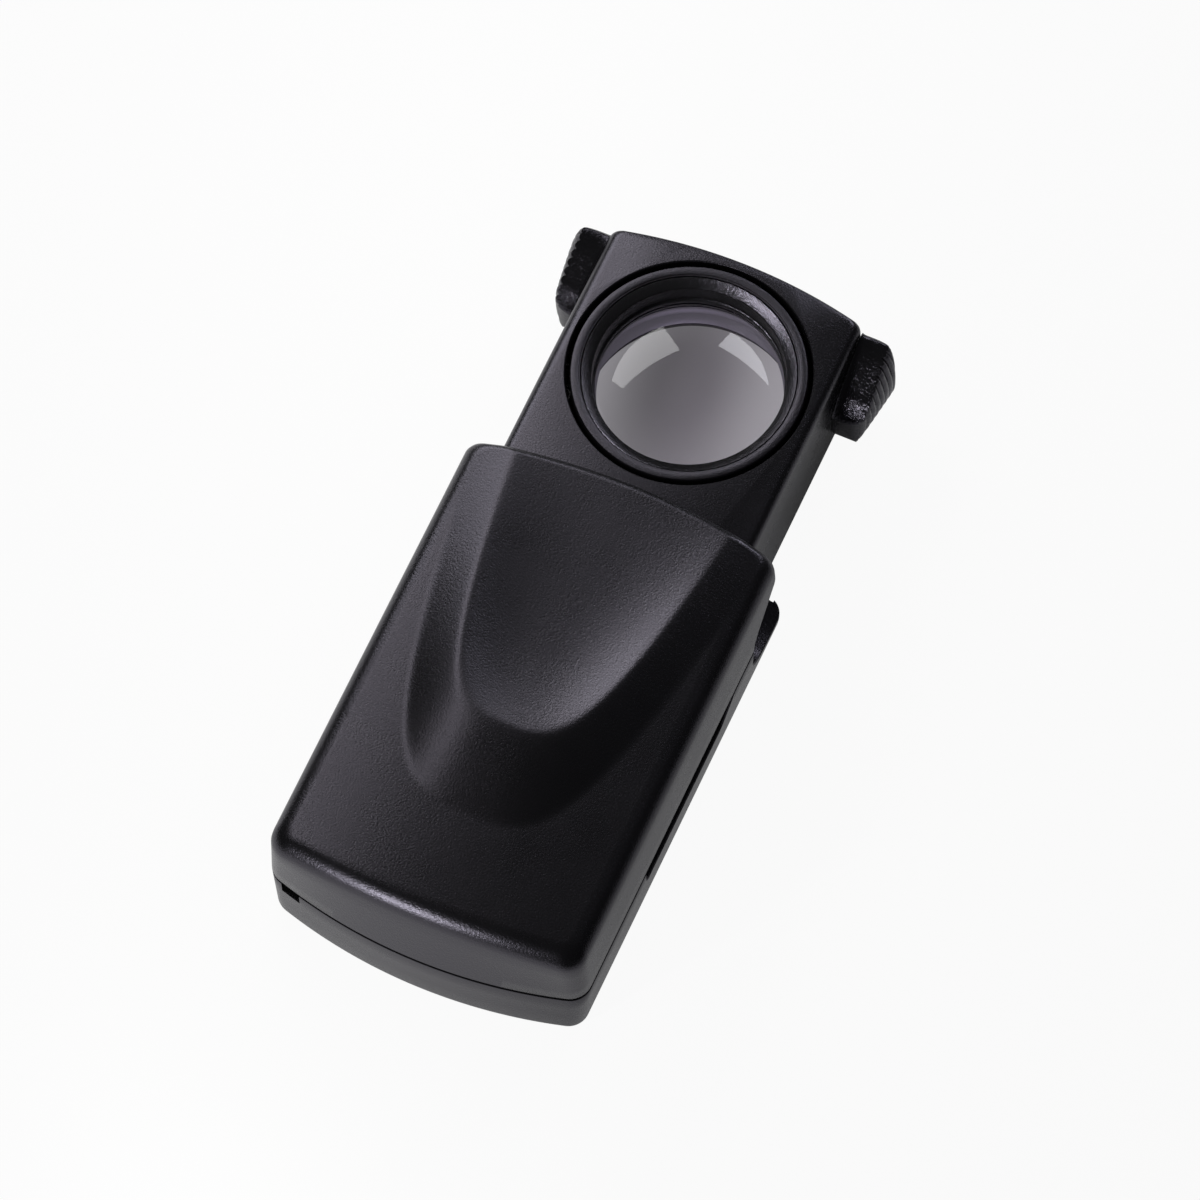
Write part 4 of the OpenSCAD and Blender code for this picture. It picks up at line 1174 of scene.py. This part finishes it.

# %% [markdown]
# ## Floor and light
# A pale floor takes the object's shadow, and to the camera it is mixed with white. Glossy
# black plastic shows little but what it mirrors, so mirrored rays see painted light and
# shade on the floor: painted brighter at the tail, and painted darker next to the carriage
# and towards the right, for the object's own shade. Rays that a lens bends see a painted
# dim spot of shade in a paler surround. The lamps stand where the photograph's highlights
# ask for them: a long strip gives the deck its fall-off from light to dark, two soft boxes
# mirror in the lens, and small ones catch the rear edge, the ring and the grips.
# Some are flagged off from the pieces that they aren't meant for.

# %% Floor
def pale_floor():
    shader = Shader("pale_floor")
    matt = shader.node("ShaderNodeBsdfDiffuse", {}, {"Color": (0.83, 0.83, 0.83, 1)})
    white = shader.node("ShaderNodeEmission", {}, {"Color": (1, 1, 1, 1), "Strength": 1.0})
    across, along = shader.along(0), shader.along(1)
    camera_ray, glossy, passing = [shader.node("ShaderNodeLightPath", out=name)
        for name in ("Is Camera Ray", "Is Glossy Ray", "Is Transmission Ray")]
    # Painted light and shade on the floor, seen only by mirrored rays: brighter at the tail, darker
    # next to the carriage.
    painted_light_behind = shader.smooth(along, -0.023, -0.043, 0.42, 0.95)
    painted_shade_beside = (along > 0.028) * shader.smooth(abs(across), 0.016, 0.0225, 0.34, 0.0)
    # The last factor paints the mirrored floor darker towards the right and brighter towards the
    # left, as shade.
    mirrored = glossy * (1 - passing) * (painted_light_behind - painted_shade_beside) * (1 - across * 11)
    # Painted shade under the lens: rays that the lenses bend see a dim spot here, in a paler
    # surround.
    off_x, off_y = across + 0.0026, (along - 0.0455) * 0.6
    glow = shader.smooth((off_x * off_x + off_y * off_y) ** 0.5, 0.001, 0.006, 0.08, 0.29)
    seen = camera_ray * 0.94 + mirrored + passing * glow
    return shader.finish(shader.node("ShaderNodeMixShader", {}, {0: seen, 1: matt, 2: white}))


start_clean()
bpy.ops.mesh.primitive_plane_add(size=2.4, location=(0, 0.02, -0.00002))
floor = applied("floor")
dress(floor, pale_floor())


# %% Lights
def soft_box(name, place, target, width, height, glow):
    """A lamp of a given brightness, whatever its size."""
    data = bpy.data.lights.new(name, "AREA")
    data.shape = "RECTANGLE"
    data.size, data.size_y = width * MM, height * MM
    data.energy = glow * math.pi * width * height * MM * MM
    lamp = bpy.data.objects.new(name, data)
    lamp.location = Vector(place) * MM
    lamp.rotation_euler = (Vector(target) - Vector(place)).to_track_quat("-Z", "Y").to_euler()
    lamp.visible_camera = False
    bpy.context.scene.collection.objects.link(lamp)
    return lamp


LENS_TOP = (0, 41, 13)
RING_REAR = (4, 51, 14)


def toward(azimuth, elevation, distance, centre=LENS_TOP):
    """The place at a distance from a centre, in a direction given in degrees."""
    a, e = math.radians(azimuth), math.radians(elevation)
    step = Vector((math.cos(a) * math.cos(e), math.sin(a) * math.cos(e), math.sin(e)))
    return tuple(Vector(centre) + step * distance)


soft_box("left_box", toward(147, 37, 150), LENS_TOP, 96, 56, 3.9)
far_box = soft_box("far_box", toward(78, 34, 420), LENS_TOP, 230, 120, 5.3)
far_box.data.color = (0.94, 0.95, 1)
deck_strip = soft_box("deck_strip", (-30, 34, 60), (-30, 34, 0), 12, 128, 3.35)
deck_strip.data.color = (1, 0.985, 0.955)
low_fill = soft_box("low_fill", (-32, 56, 60), (-32, 56, 0), 48, 82, 0.42)
soft_box("edge_box", (-14, -75, 36), (-1, -27, 15), 5, 14, 76)
grip_box = soft_box("grip_box", (-2.5, -95, 57), (5, 46, 11), 16, 16, 150)
ring_box = soft_box("ring_box", toward(222, 41, 150, RING_REAR), RING_REAR, 28, 28, 62)
inside_box = soft_box("inside_box", tuple(Vector(LENS_TOP) + CAMERA_BACK * 300), LENS_TOP,
    120, 120, 9)


def only_for(lamp, pieces, state="INCLUDE"):
    """Flags a lamp, so that it lights only these pieces, or all but these."""
    group = bpy.data.collections.new(lamp.name + "_flag")
    for piece in pieces:
        group.objects.link(piece)
    lamp.light_linking.receiver_collection = group
    for member in group.collection_objects:
        member.light_linking.link_state = state


for panel in (deck_strip, low_fill):
    only_for(panel, [top_lens, under_lens] + grips, "EXCLUDE")
only_for(grip_box, grips)
only_for(ring_box, [ring])
only_for(inside_box, [base])

# %% Surround
world = bpy.data.worlds.new("surround")
world.use_nodes = True
nodes, links = world.node_tree.nodes, world.node_tree.links
dim = nodes["Background"]
dim.inputs["Color"].default_value = (0.5, 0.5, 0.5, 1)
dim.inputs["Strength"].default_value = 0.08
backdrop = nodes.new("ShaderNodeBackground")
backdrop.inputs["Color"].default_value = (1, 1, 1, 1)
choice = nodes.new("ShaderNodeMixShader")
links.new(nodes.new("ShaderNodeLightPath").outputs["Is Camera Ray"], choice.inputs[0])
links.new(dim.outputs[0], choice.inputs[1])
links.new(backdrop.outputs[0], choice.inputs[2])
links.new(choice.outputs[0], nodes["World Output"].inputs["Surface"])
bpy.context.scene.world = world
bpy.context.scene.view_settings.view_transform = "Standard"
